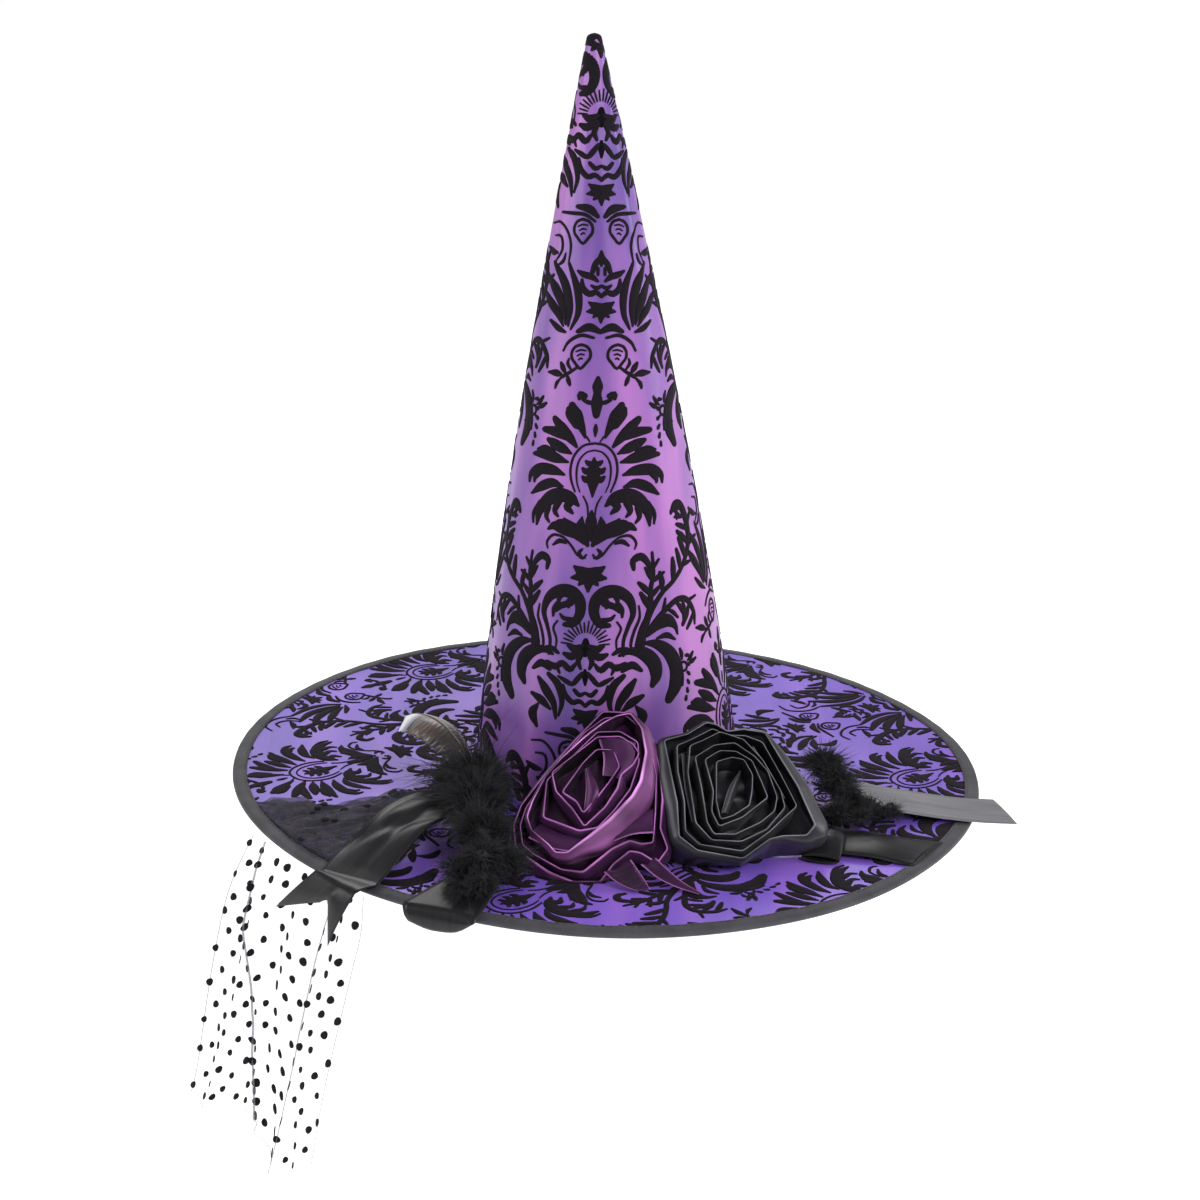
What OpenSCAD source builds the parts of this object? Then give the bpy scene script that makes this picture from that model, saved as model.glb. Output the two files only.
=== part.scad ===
// Witch hat: a stiffened cone crown on a wired round brim, trimmed in front with two
// ribbon roses, marabou tufts, a feather, satin ribbon ends and a dotted tulle veil.
// Millimetres. The origin is the centre of the head opening, +Z points up out of the
// crown and the trimmed front of the hat faces -Y.

/* [Head opening] */
// Inside radius of the sweatband, which is the round head opening
head_r = 84; // [80:0.1:84]
// Height of the sweatband
sweatband_h = 12; // [8:0.5:12]
// How far the sweatband stands out below the brim
sweatband_below = 2; // [1:0.5:3]

/* [Crown] */
// Height of the crown's tip above the brim's lower face
crown_h = 486; // [450:1:490]
// Outside radius of the crown where it meets the brim
crown_base_r = 88.6; // [88.6:0.1:91]
// Outside radius just under the rounded tip
crown_tip_r = 3.7; // [3:0.1:4]
// How far the sides swell out from a straight cone, as a radius
crown_bulge = 25; // [18:0.5:26]
// Degrees that the tip leans towards -X
crown_lean = 2.7; // [0:0.1:2.9]
// Thickness of the stiff board cone inside the cloth
crown_board_t = 1.2; // [0.8:0.1:1.2]

/* [Brim] */
// Outside radius of the brim over its binding
brim_r = 250; // [248:1:252]
// Thickness of the brim board
brim_board_t = 2; // [1.5:0.1:2]
// Width of the binding tape seen on each face
binding_w = 9.5; // [8:0.5:12]
// Radius of the hoop wire in the brim's edge
wire_r = 0.9; // [0.6:0.1:0.9]

/* [Cloth] */
// Thickness of the satin and of the linings
cloth_t = 0.5; // [0.4:0.1:0.5]
// Width of the black satin ribbon
ribbon_w = 38; // [34:1:38]
// Thickness of a ribbon
ribbon_t = 0.8; // [0.5:0.1:0.8]

/* [Veil] */
// Width of the veil where it hangs
veil_w = 132; // [110:1:132]
// Length of the veil below the brim
veil_drop_h = 180; // [120:1:190]
// Thickness of the hanging tulle with its dots
veil_t = 1.2; // [0.8:0.1:1.2]
// Degrees that the stiff tulle stands out from straight down
veil_flare = 11; // [5:1:14]

/* [Roses] */
// Degrees that the roses' faces lean back from upright
rose_lean = 40; // [38:1:42]
// Radius of the felt pads under the roses
pad_r = 24; // [18:1:24]
// Thickness of the felt pads
pad_t = 2; // [1:0.5:2]

/* [Hidden] */

round_fn = 96;
gap = 0.1;                                   // between cloth layers that lie on each other
brim_top = 2 * cloth_t + brim_board_t;       // height of the brim's upper face
edge_clear = 0.05;                           // between the binding and what it wraps
binding_t = 0.45;
brim_layers_r = brim_r - 2.5;                // the brim's own layers stop here, inside the binding
sweatband_t = 0.6;
hole_r = head_r + sweatband_t + gap;         // the hole in the brim, round the sweatband
profile_steps = 18;
crown_s_shape = 7;                           // a slight hollow near the tip and swell near the base
tip_cap = 2;
shoulder = crown_h - tip_cap;                // where the rounded tip starts
crown_foot = -8;                             // the cone runs on below the brim before it is cut
crown_shift = 0.5;                           // moves the leaning cone clear of the sweatband

veil_az = -136.3;                            // where the veil crosses the brim's edge, from +X
front_tail_az = -110.5;                      // where the front ribbon end crosses it
edge_gap = 2;                                // from the brim's edge out to a swing axis

satin = [0.55, 0.36, 0.76];
black = [0.07, 0.07, 0.08];
board = [0.24, 0.22, 0.26];
plum = [0.29, 0.13, 0.31];

// ---- crown ----

function crown_r(k) =
    crown_base_r * (1 - k) + crown_tip_r * k + crown_bulge * k * (1 - k)
    + crown_s_shape * k * (1 - k) * (1 - 2 * k);

// Half outline of the crown at a depth inside its outer face, from foot to tip
function crown_outline(depth) =
    let (top = shoulder - depth, cap = tip_cap - 1.2 * depth, last_r = crown_tip_r - depth)
    concat(
        [[crown_base_r - depth, crown_foot]],
        [for (i = [0 : profile_steps]) let (k = i / profile_steps) [crown_r(k) - depth, k * top]],
        [[last_r * 0.6, top + 0.75 * cap], [0, top + cap]]);

function reversed(list) = [for (i = [len(list) - 1 : -1 : 0]) list[i]];

// One leaning cone shell, cut off level with the brim's upper face
module crown_shell(depth, t) {
    cut = 2 * (crown_base_r + 10);
    difference() {
        translate([crown_shift, 0, 0])
            rotate([0, -crown_lean, 0])
                rotate_extrude($fn = round_fn)
                    polygon(concat(crown_outline(depth), reversed(crown_outline(depth + t))));
        translate([-cut / 2, -cut / 2, brim_top - 50]) cube([cut, cut, 50]);
    }
}

module crown_cover() { color(satin) crown_shell(0, cloth_t); }

module crown_board() { color(board) crown_shell(cloth_t + gap, crown_board_t); }

module crown_lining() { color(black) crown_shell(cloth_t + crown_board_t + 2 * gap, cloth_t - 0.1); }

// ---- brim ----

module ring(outer_r, inner_r, z, t) {
    translate([0, 0, z])
        difference() {
            cylinder(r = outer_r, h = t, $fn = round_fn);
            translate([0, 0, -1]) cylinder(r = inner_r, h = t + 2, $fn = round_fn);
        }
}

module brim_under_cover() { color(black) ring(brim_layers_r, hole_r, 0, cloth_t); }

module brim_board() { color(board) ring(brim_layers_r, hole_r, cloth_t, brim_board_t); }

module brim_top_cover() { color(satin) ring(brim_layers_r, hole_r, cloth_t + brim_board_t, cloth_t); }

// Folded tape round the edge: two legs and a rounded nose
module brim_binding() {
    low = -edge_clear;
    high = brim_top + edge_clear;
    color(black)
        rotate_extrude($fn = round_fn)
            polygon([
                [brim_r - binding_w, low - binding_t], [brim_r - 1, low - binding_t], [brim_r, 0.5],
                [brim_r, brim_top - 0.5], [brim_r - 1, high + binding_t],
                [brim_r - binding_w, high + binding_t], [brim_r - binding_w, high],
                [brim_r - 1.1, high], [brim_r - binding_t, brim_top - 0.6],
                [brim_r - binding_t, 0.6], [brim_r - 1.1, low], [brim_r - binding_w, low]
            ]);
}

module brim_wire() {
    color("silver")
        translate([0, 0, brim_top / 2])
            rotate_extrude($fn = round_fn)
                translate([brim_layers_r + edge_clear + wire_r, 0]) circle(r = wire_r, $fn = 24);
}

module sweatband() {
    color(black) ring(head_r + sweatband_t, head_r, -sweatband_below, sweatband_h);
}

// ---- roses ----

// Outlines of the open faces, x across and y up the face
purple_outline = [[5, 57], [31, 50], [42, 13], [45, -26], [38, -34], [20, -57], [-24, -49],
    [-42, -33], [-45, -15], [-39, 5], [-24, 27], [-10, 44]];
black_outline = [[-41, 38], [-13, 53], [-2, 53], [21, 36], [35, 5], [43, -30], [27, -46],
    [-8, -57], [-36, -54], [-45, -46], [-45, -4]];
purple_face = [-8, -146, 44];
black_face = [84, -138, 48];
black_turn = 12;
purple_pad_at = [-8, -130];
black_pad_at = [80, -114];
hollow_share = 0.62;                          // the core's share of the rose's width
core_foot = 12;                               // the core stands this far above the pad

module on_face(centre, turn) {
    translate(centre) rotate([0, 0, turn]) rotate([rose_lean, 0, 0]) children();
}

module face_plate(outline, share, depth) {
    translate([0, 0, -depth]) linear_extrude(2) scale([share, share]) polygon(outline);
}

// A rose's body narrows from its open face to the felt pad on the brim
module rose_body(outline, share, centre, turn, pad_at, foot_z) {
    hull() {
        on_face(centre, turn) face_plate(outline, share, 2);
        translate([pad_at.x, pad_at.y, foot_z]) cylinder(r = 22 * share, h = 1, $fn = 24);
    }
}

module rose_petals(outline, centre, turn, pad_at) {
    foot = brim_top + pad_t + 2 * gap;
    difference() {
        rose_body(outline, 1, centre, turn, pad_at, foot);
        hull() {
            on_face(centre, turn) translate([0, 0, 1]) face_plate(outline, hollow_share, 2);
            translate([pad_at.x, pad_at.y, foot + core_foot]) cylinder(r = 12, h = 1, $fn = 24);
        }
    }
}

module rose_core(outline, centre, turn, pad_at) {
    foot = brim_top + pad_t + 2 * gap;
    hull() {
        on_face(centre, turn) translate([0, 0, -2]) face_plate(outline, hollow_share * 0.9, 2);
        translate([pad_at.x, pad_at.y, foot + core_foot]) cylinder(r = 9, h = 1, $fn = 24);
    }
}

module felt_pad(at) { translate([at.x, at.y, brim_top + gap]) cylinder(r = pad_r, h = pad_t, $fn = 48); }

module purple_rose_pad() { color(black) felt_pad(purple_pad_at); }
module purple_rose_petals() { color(plum) rose_petals(purple_outline, purple_face, 0, purple_pad_at); }
module purple_rose_core() { color(plum) rose_core(purple_outline, purple_face, 0, purple_pad_at); }

// The loose end of the plum ribbon lies on the brim in front of its rose
module purple_rose_ribbon_end() {
    color(plum)
        translate([0, 0, brim_top + gap])
            linear_extrude(ribbon_t)
                polygon([
                    [22, -189], [34, -180], [40, -184], [57, -196],
                    [54, -201], [30, -196], [10, -197], [6, -192]
                ]);
}

module black_rose_pad() { color(black) felt_pad(black_pad_at); }
module black_rose_petals() {
    color(black) rose_petals(black_outline, black_face, black_turn, black_pad_at);
}
module black_rose_core() { color(black) rose_core(black_outline, black_face, black_turn, black_pad_at); }

// ---- marabou and feather ----

// Tufts as [x, y, z, radius]
left_tufts = [[-82, -112, 30, 25], [-77, -152, 26, 21], [-74, -184, 22, 17], [-72, -210, 18, 13.5]];
right_tufts = [[146, -52, 28, 24], [150, -76, 20, 16]];

module tufts(list) { for (b = list) translate([b[0], b[1], b[2]]) sphere(r = b[3], $fn = 48); }

module marabou_left() { color(black) tufts(left_tufts); }
module marabou_right() { color(black) tufts(right_tufts); }

// The string that the marabou is spun on runs behind the roses from tuft to tuft
cord_ring_r = 97;
cord_r = 1.8;
cord_from = -119;
cord_to = -34;

module marabou_cord() {
    color(black)
        translate([0, 0, brim_top + cord_r + 2 * gap])
            rotate([0, 0, cord_from])
                rotate_extrude(angle = cord_to - cord_from, $fn = round_fn)
                    translate([cord_ring_r, 0]) circle(r = cord_r, $fn = 24);
}

feather_foot = [-98, -85, 34];
feather_turn = 124;                           // the way the feather points, from +X
feather_len = 80;
feather_w = 28;

module on_feather() { translate(feather_foot) rotate([0, 0, feather_turn]) children(); }

// Each half of the vane lies beside the quill
module feather_vane() {
    quill_half = 0.9;
    side = [[0, quill_half], [feather_len * 0.15, feather_w * 0.28], [feather_len * 0.45, feather_w / 2],
        [feather_len * 0.75, feather_w * 0.42], [feather_len * 0.96, feather_w * 0.14],
        [feather_len, quill_half]];
    color([0.2, 0.17, 0.16])
        on_feather()
            for (m = [0, 1]) mirror([0, m, 0]) linear_extrude(0.8) polygon(side);
}

module feather_quill() {
    color([0.35, 0.28, 0.24])
        on_feather() translate([0, 0, 0.4]) rotate([0, 90, 0])
            cylinder(r = 0.8, h = feather_len - 4, $fn = 24);
}

// ---- veil ----

module at_edge(az, out) { rotate([0, 0, az]) translate([brim_r + out, 0, brim_top]) children(); }

// Bunched tulle on the brim, from the tufts out to the edge
module veil_gather() {
    color([0.12, 0.11, 0.14])
        translate([0, 0, brim_top + gap])
            intersection() {
                linear_extrude(1.6)
                    polygon([
                        [-112, -92], [-122, -44], [-150, -58],
                        [-230, -120], [-148, -222], [-124, -150]
                    ]);
                cylinder(r = brim_r - binding_w - 1, h = 10, $fn = round_fn);
            }
}

// Soft vertical folds, y outwards and x along the brim's edge
veil_top = 3;                                 // the sheet starts this far below the swing axis
folds = 4;
fold_depth = 3.4;
fold_steps = 48;
function fold_y(x) = fold_depth * sin(folds * 360 * x / veil_w);

module veil_drop() {
    first = veil_w / 2;
    line = [for (i = [0 : fold_steps]) -first + veil_w * i / fold_steps];
    color([0.35, 0.34, 0.38])
        at_edge(veil_az, edge_gap)
            rotate([0, -veil_flare, 0])
                translate([0, 0, -veil_drop_h - veil_top])
                    rotate([0, 0, 90])
                        linear_extrude(veil_drop_h)
                            translate([0, -fold_depth - 0.6])
                                polygon(concat(
                                    [for (x = line) [x, fold_y(x)]],
                                    [for (x = reversed(line)) [x, fold_y(x) - veil_t]]));
}

// ---- ribbons ----

// A ribbon seen from the side: points are [distance along, height], and it is ribbon_w wide
module ribbon(points, width) {
    rotate([90, 0, 0])
        translate([0, 0, -width / 2])
            linear_extrude(width)
                polygon(concat(points, [for (p = reversed(points)) p - [0, ribbon_t]]));
}

left_ribbon_root = [-118, -112];

module left_ribbon() {
    color(black)
        translate([left_ribbon_root.x, left_ribbon_root.y, 0])
            rotate([0, 0, -116])
                ribbon([[0, 9], [20, 12], [48, 11], [76, 8.5], [92, 7.6]], ribbon_w);
}

// The swallowtail end hangs over the edge, outside the veil
left_tail_out = 9.4;

module left_ribbon_tail() {
    color(black)
        at_edge(veil_az, edge_gap)
            rotate([0, -veil_flare, 0])
                translate([left_tail_out, 0, 0])
                    rotate([90, 0, 90])
                        linear_extrude(ribbon_t)
                            polygon([[19, -2], [59, -2], [46, -31], [39, -6], [-7, -26]]);
}

module front_ribbon_tail() {
    color(black)
        at_edge(front_tail_az, edge_gap + 1.5)
            rotate([90, 0, 90])
                linear_extrude(ribbon_t)
                    polygon([[-27, 2], [27, 2], [16, -15], [4, -19], [-22, -14]]);
}

right_upper_root = [178, -66];
right_lower_root = [152, -122];

module right_ribbon_upper() {
    color(black)
        translate([right_upper_root.x, right_upper_root.y, 0])
            rotate([0, 0, -1])
                difference() {
                    ribbon([[2, 13], [30, 9.5], [60, 7], [88, 6]], ribbon_w);
                    // the end is cut on a slant
                    translate([88, -ribbon_w / 2, -1]) rotate([0, 0, 14]) cube([20, 60, 30]);
                }
}

module right_ribbon_lower() {
    color(black)
        translate([right_lower_root.x, right_lower_root.y, 0])
            rotate([0, 0, -13])
                difference() {
                    ribbon([[2, 6.4], [30, 5.4], [64, 5]], ribbon_w);
                    translate([52, -ribbon_w / 2, -1]) rotate([0, 0, -18]) cube([30, 60, 30]);
                }
}

// A rolled loop between the black rose and its loose ends
loop_r = 6;
loop_w = 24;

module right_ribbon_loop() {
    color(black)
        translate([139, -136, brim_top + loop_r + 2 * gap])
            rotate([90, 0, -12])
                translate([0, 0, -loop_w / 2])
                    difference() {
                        cylinder(r = loop_r, h = loop_w, $fn = 48);
                        translate([0, 0, -1]) cylinder(r = loop_r - ribbon_t, h = loop_w + 2, $fn = 48);
                    }
}

// Knots of the thread that holds the trimmings, under the brim
tack_at = [[-8, -130], [80, -114], [-82, -120], [-78, -170], [150, -64], [-120, -70], [146, -128]];

module thread_tacks() {
    color(black)
        for (p = tack_at)
            translate([p.x, p.y, -1])
                for (turn = [-40, 40])
                    rotate([0, 0, turn])
                        translate([-4, -0.4, turn > 0 ? 0.5 : 0]) cube([8, 0.8, 0.5]);
}

crown_cover();
crown_board();
crown_lining();
brim_top_cover();
brim_board();
brim_under_cover();
brim_binding();
brim_wire();
sweatband();
purple_rose_pad();
purple_rose_petals();
purple_rose_core();
purple_rose_ribbon_end();
black_rose_pad();
black_rose_petals();
black_rose_core();
marabou_left();
marabou_right();
marabou_cord();
feather_vane();
feather_quill();
veil_gather();
veil_drop();
left_ribbon();
left_ribbon_tail();
front_ribbon_tail();
right_ribbon_upper();
right_ribbon_lower();
right_ribbon_loop();
thread_tacks();
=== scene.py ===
"""Witch hat: the cloth, ribbon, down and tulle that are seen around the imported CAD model.

Lengths named in millimetres are turned into metres with MM where a mesh is made. Cloth
coordinates are u across and v up a flat piece of cloth, in millimetres.
"""
import math

import bpy
import numpy as np
from mathutils import Matrix, Vector


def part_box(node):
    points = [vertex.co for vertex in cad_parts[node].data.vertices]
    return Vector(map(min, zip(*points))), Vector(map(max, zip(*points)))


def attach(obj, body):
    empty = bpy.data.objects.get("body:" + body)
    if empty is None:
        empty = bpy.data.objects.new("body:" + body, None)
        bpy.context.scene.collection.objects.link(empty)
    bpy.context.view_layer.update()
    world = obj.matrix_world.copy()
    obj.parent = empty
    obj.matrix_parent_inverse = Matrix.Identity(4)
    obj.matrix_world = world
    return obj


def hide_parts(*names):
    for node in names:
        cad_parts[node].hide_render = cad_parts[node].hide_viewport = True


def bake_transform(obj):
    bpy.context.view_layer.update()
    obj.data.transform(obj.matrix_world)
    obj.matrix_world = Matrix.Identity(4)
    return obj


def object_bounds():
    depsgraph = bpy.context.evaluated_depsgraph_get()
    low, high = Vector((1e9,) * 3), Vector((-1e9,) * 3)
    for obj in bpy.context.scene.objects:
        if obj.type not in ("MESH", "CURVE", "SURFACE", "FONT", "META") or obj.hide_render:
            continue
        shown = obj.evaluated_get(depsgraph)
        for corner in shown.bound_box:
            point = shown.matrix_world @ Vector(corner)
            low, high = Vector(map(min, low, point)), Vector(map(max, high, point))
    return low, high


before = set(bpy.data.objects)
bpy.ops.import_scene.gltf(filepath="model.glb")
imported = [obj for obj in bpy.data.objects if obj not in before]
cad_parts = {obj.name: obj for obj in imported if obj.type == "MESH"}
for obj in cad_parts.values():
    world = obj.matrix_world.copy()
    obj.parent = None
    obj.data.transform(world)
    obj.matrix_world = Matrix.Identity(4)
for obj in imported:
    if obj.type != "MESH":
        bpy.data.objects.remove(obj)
cad_low, cad_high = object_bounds()
MM = 0.001
TURN = 2 * math.pi
UP = np.array([0, 0, 1.0])


# ---- camera, light and floor ----

def add_object(name, data):
    made = bpy.data.objects.new(name, data)
    bpy.context.scene.collection.objects.link(made)
    return made


def make_camera():
    distance, elevation, roll = 1.667, math.radians(23.08), math.radians(1.83)
    aim = Vector((-0.0077, 0, 0.1191))
    data = bpy.data.cameras.new("camera")
    camera = add_object("camera", data)
    camera.location = (0, -distance * math.cos(elevation), distance * math.sin(elevation))
    look = (aim - camera.location).to_track_quat("-Z", "Y").to_matrix()
    camera.rotation_euler = (look @ Matrix.Rotation(roll, 3, "Z")).to_euler()
    data.sensor_width = 36
    data.lens = 73.74
    bpy.context.scene.camera = camera


def area_light(name, place, aim, size, power):
    data = bpy.data.lights.new(name, "AREA")
    data.shape = "RECTANGLE"
    data.size, data.size_y = size
    data.energy = power
    light = add_object(name, data)
    light.location = place
    light.rotation_euler = (Vector(aim) - Vector(place)).to_track_quat("-Z", "Y").to_euler()


def make_lights_and_floor():
    """Four soft lights round the hat, an even white world, and pale paper under the veil."""
    area_light("key", (0.9, -1.6, 1.5), (0, 0, 0.1), (0.5, 0.9), 24)
    area_light("fill", (-1.9, -0.5, 0.9), (0, 0, 0.1), (0.7, 1.2), 15)
    area_light("rim", (1.9, 0.1, 0.9), (0, 0, 0.2), (0.6, 1.2), 17)
    area_light("back", (-0.3, 1.7, 1.3), (0, 0, 0.2), (1.4, 0.8), 12)
    world = bpy.data.worlds.new("studio")
    bpy.context.scene.world = world
    world.use_nodes = True
    background = world.node_tree.nodes["Background"]
    background.inputs["Color"].default_value = (1, 1, 1, 1)
    background.inputs["Strength"].default_value = 0.42
    bpy.context.scene.view_settings.view_transform = "Standard"
    below_veil = cad_low.z - 0.012
    half = 40.0
    corners = [(-half, -half), (half, -half), (half, half), (-half, half)]
    floor = paper_sheet("floor", [(x, y, below_veil) for x, y in corners], [(0, 1, 2, 3)], 0.62)
    make_backdrop(below_veil)


def paper_sheet(name, points, faces, glow):
    """Pale paper of the studio, with a glow of its own."""
    data = bpy.data.meshes.new(name)
    data.from_pydata(points, [], faces)
    paper, _, shader = plain(f"{name}_paper", (0.93, 0.93, 0.94), 0.9)
    shader.inputs["Emission Color"].default_value = (1, 1, 1, 1)
    shader.inputs["Emission Strength"].default_value = glow
    data.materials.append(paper)
    return add_object(name, data)


def make_backdrop(below, radius=39.0, high=30.0, count=96):
    """A tall white ring far away, seen by the camera only, so that low views see paper above the floor."""
    points = [(radius * math.cos(TURN * k / count), radius * math.sin(TURN * k / count), z)
              for z in (below, below + high) for k in range(count)]
    backdrop = paper_sheet("backdrop", points, grid_faces(2, count, True), 1.0)
    for ray in ("diffuse", "glossy", "transmission", "volume_scatter", "shadow"):
        setattr(backdrop, f"visible_{ray}", False)


# ---- materials ----

def plain(name, colour, roughness, **sockets):
    """A Principled material: sockets are other inputs by name, with _ for a space."""
    material = bpy.data.materials.new(name)
    material.use_nodes = True
    tree = material.node_tree
    shader = tree.nodes["Principled BSDF"]
    shader.inputs["Base Color"].default_value = (*colour, 1)
    shader.inputs["Roughness"].default_value = roughness
    for key, value in sockets.items():
        shader.inputs[key.replace("_", " ")].default_value = value
    return material, tree, shader


def node(tree, kind, inputs=(), **settings):
    """A new shader node; an input is a value or another node's socket."""
    made = tree.nodes.new(kind)
    for key, value in settings.items():
        setattr(made, key, value)
    for key, value in dict(inputs).items():
        if isinstance(value, bpy.types.NodeSocket):
            tree.links.new(value, made.inputs[key])
        else:
            made.inputs[key].default_value = value
    return made


def product(tree, a, b):
    return node(tree, "ShaderNodeVectorMath", {0: a, 1: b}, operation="MULTIPLY").outputs[0]


def rescaled(tree, value, **limits):
    """A value mapped from one range to another; limits are From_Min, From_Max, To_Min and To_Max."""
    inputs = {key.replace("_", " "): limit for key, limit in limits.items()}
    return node(tree, "ShaderNodeMapRange", {"Value": value, **inputs}).outputs[0]


def cloth_coordinates(tree, stretch=(1, 1, 1)):
    """The piece's flat cloth coordinates, in metres, scaled by stretch."""
    return product(tree, node(tree, "ShaderNodeUVMap", uv_map="cloth").outputs[0], stretch)


def object_place(tree):
    return node(tree, "ShaderNodeTexCoord").outputs["Object"]


def bands(tree, vector, scale, distortion, direction):
    """Fine parallel lines: threads, twill or barbs."""
    return node(tree, "ShaderNodeTexWave", {"Vector": vector, "Scale": scale, "Distortion": distortion},
                wave_type="BANDS", bands_direction=direction).outputs["Fac"]


def noise(tree, vector, scale, detail=3.0):
    inputs = {"Vector": vector, "Scale": scale, "Detail": detail}
    return node(tree, "ShaderNodeTexNoise", inputs).outputs["Fac"]


def ramp(tree, factor, stops):
    """A colour ramp from stops of (place, colour)."""
    made = node(tree, "ShaderNodeValToRGB", {"Fac": factor})
    elements = made.color_ramp.elements
    while len(elements) < len(stops):
        elements.new(0.5)
    for element, (place, colour) in zip(elements, stops):
        element.position = place
        element.color = (*colour, 1)
    return made.outputs["Color"]


def add_bump(tree, shader, height, strength, distance, normal=None):
    """Bumps the shader's surface by a height, on top of an earlier bump's normal where one is given."""
    inputs = {"Height": height, "Strength": strength, "Distance": distance}
    if normal is not None:
        inputs["Normal"] = normal
    bump = node(tree, "ShaderNodeBump", inputs)
    tree.links.new(bump.outputs[0], shader.inputs["Normal"])
    return bump.outputs[0]


def satin(name, stops, upright):
    """Woven satin: soft streaks along the warp, fine threads and a blue sheen. The warp runs up or back."""
    roughness, threads_per_metre = 0.34, 2400
    material, tree, shader = plain(name, stops[0][1], roughness, Sheen_Weight=0.25, Anisotropic=0.5)
    shader.inputs["Sheen Tint"].default_value = (0.35, 0.3, 1.0, 1)
    shader.inputs["Sheen Roughness"].default_value = 0.35

    def stretched(across, along):
        scale = (across, across, along) if upright else (across, along, across)
        return product(tree, object_place(tree), scale)

    streaks = noise(tree, stretched(24, 3.0), 1.0)
    tree.links.new(ramp(tree, streaks, stops), shader.inputs["Base Color"])
    slubs = noise(tree, stretched(900, 26), 1.0, 2.0)
    rough = rescaled(tree, slubs, To_Min=roughness - 0.06, To_Max=roughness + 0.1)
    tree.links.new(rough, shader.inputs["Roughness"])
    soft = add_bump(tree, shader, slubs, 0.25, 0.0002)
    weave = bands(tree, stretched(1, 1), threads_per_metre / 6.28, 0.6, "Z" if upright else "Y")
    add_bump(tree, shader, weave, 0.12, 0.00008, soft)
    return material


def flock():
    """Short black velvet pile: matt, with a soft sheen where it turns away."""
    material, tree, shader = plain("flock", (0.012, 0.009, 0.014), 0.85, Sheen_Weight=0.06,
                                   Specular_IOR_Level=0.12)
    shader.inputs["Sheen Tint"].default_value = (0.55, 0.5, 0.62, 1)
    pile = noise(tree, object_place(tree), 2600, 2.0)
    tree.links.new(ramp(tree, pile, [(0.3, (0.004, 0.003, 0.005)), (0.8, (0.013, 0.009, 0.014))]),
                   shader.inputs["Base Color"])
    add_bump(tree, shader, pile, 0.5, 0.0003)
    return material


def tape():
    """Charcoal bias tape with its twill lines."""
    material, tree, shader = plain("tape", (0.035, 0.033, 0.04), 0.7, Sheen_Weight=0.08)
    twill = bands(tree, cloth_coordinates(tree), 210, 0.4, "DIAGONAL")
    patches = noise(tree, cloth_coordinates(tree, (60, 60, 1)), 1.0)
    tree.links.new(ramp(tree, patches, [(0.3, (0.024, 0.023, 0.029)), (0.7, (0.05, 0.047, 0.057))]),
                   shader.inputs["Base Color"])
    add_bump(tree, shader, twill, 0.35, 0.0002)
    return material


def woven(name, colour, roughness, scale, sheen=0.06):
    """Plain woven cloth or felt in one dark colour, with a thread pattern in object space."""
    material, tree, shader = plain(name, colour, roughness, Sheen_Weight=sheen)
    fibres = noise(tree, object_place(tree), scale, 4.0)
    dark = [0.6 * c for c in colour]
    light = [1.5 * c for c in colour]
    tree.links.new(ramp(tree, fibres, [(0.3, dark), (0.7, light)]), shader.inputs["Base Color"])
    add_bump(tree, shader, fibres, 0.4, 0.0003)
    return material


# ---- pieces ----

def piece(name, points, faces, material, slot, body="hat", uv=None, smooth=True):
    """A mesh piece in metres that rides on a body. uv holds each point's cloth coordinates in metres."""
    data = bpy.data.meshes.new(name)
    data.from_pydata([tuple(p) for p in points], [], [tuple(int(i) for i in f) for f in faces])
    data.validate()
    if uv is not None:
        layer = data.uv_layers.new(name="cloth")
        corners = np.zeros(len(data.loops), np.int32)
        data.loops.foreach_get("vertex_index", corners)
        layer.data.foreach_set("uv", np.asarray(uv, np.float32)[corners].ravel())
    data.materials.append(material)
    data.polygons.foreach_set("use_smooth", [smooth] * len(data.polygons))
    made = add_object(name, data)
    if body:
        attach(made, body)
    return made


def grid_faces(rows, columns, closed=False):
    """Quads of a grid of points stored row by row. closed joins the last column to the first."""
    faces = []
    for i in range(rows - 1):
        for j in range(columns if closed else columns - 1):
            k = (j + 1) % columns
            faces.append((i * columns + j, i * columns + k, (i + 1) * columns + k, (i + 1) * columns + j))
    return faces


def ring_faces(rows, columns):
    """Quads of a grid that is closed both ways, facing the other way round."""
    last = (rows - 1) * columns
    seam = [(last + j, last + (j + 1) % columns, (j + 1) % columns, j) for j in range(columns)]
    return [f[::-1] for f in grid_faces(rows, columns, True) + seam]


def shifted(faces, start):
    return [tuple(start + k for k in face) for face in faces]


def unit(vectors):
    """Vectors of length one, along the last axis."""
    return vectors / (np.linalg.norm(vectors, axis=-1, keepdims=True) + 1e-9)


def running_length(points):
    """The distance along a line of points, from its first."""
    return np.concatenate([[0], np.cumsum(np.linalg.norm(np.diff(points, axis=0), axis=1))])


def evenly(line, count):
    """That many of a line's points, evenly spread from its first to its last."""
    return line[np.linspace(0, len(line) - 1, count).astype(int)]


def through(points, step):
    """Points about step apart on a smooth curve through the given ones."""
    p = np.array(points, float)
    if len(p) == 2:
        count = max(2, int(np.linalg.norm(p[1] - p[0]) / step) + 2)
        return p[0] + (p[1] - p[0]) * np.linspace(0, 1, count)[:, None]
    ends = np.vstack([2 * p[0] - p[1], p, 2 * p[-1] - p[-2]])
    out = []
    for a, b, c, d in zip(ends, ends[1:], ends[2:], ends[3:]):
        count = max(2, int(np.linalg.norm(c - b) / step) + 1)
        for t in np.linspace(0, 1, count, endpoint=False):
            out.append(0.5 * (2 * b + (c - a) * t + (2 * a - 5 * b + 4 * c - d) * t * t
                              + (3 * b - a - 3 * c + d) * t ** 3))
    return np.vstack(out + [p[-1]])


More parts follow.
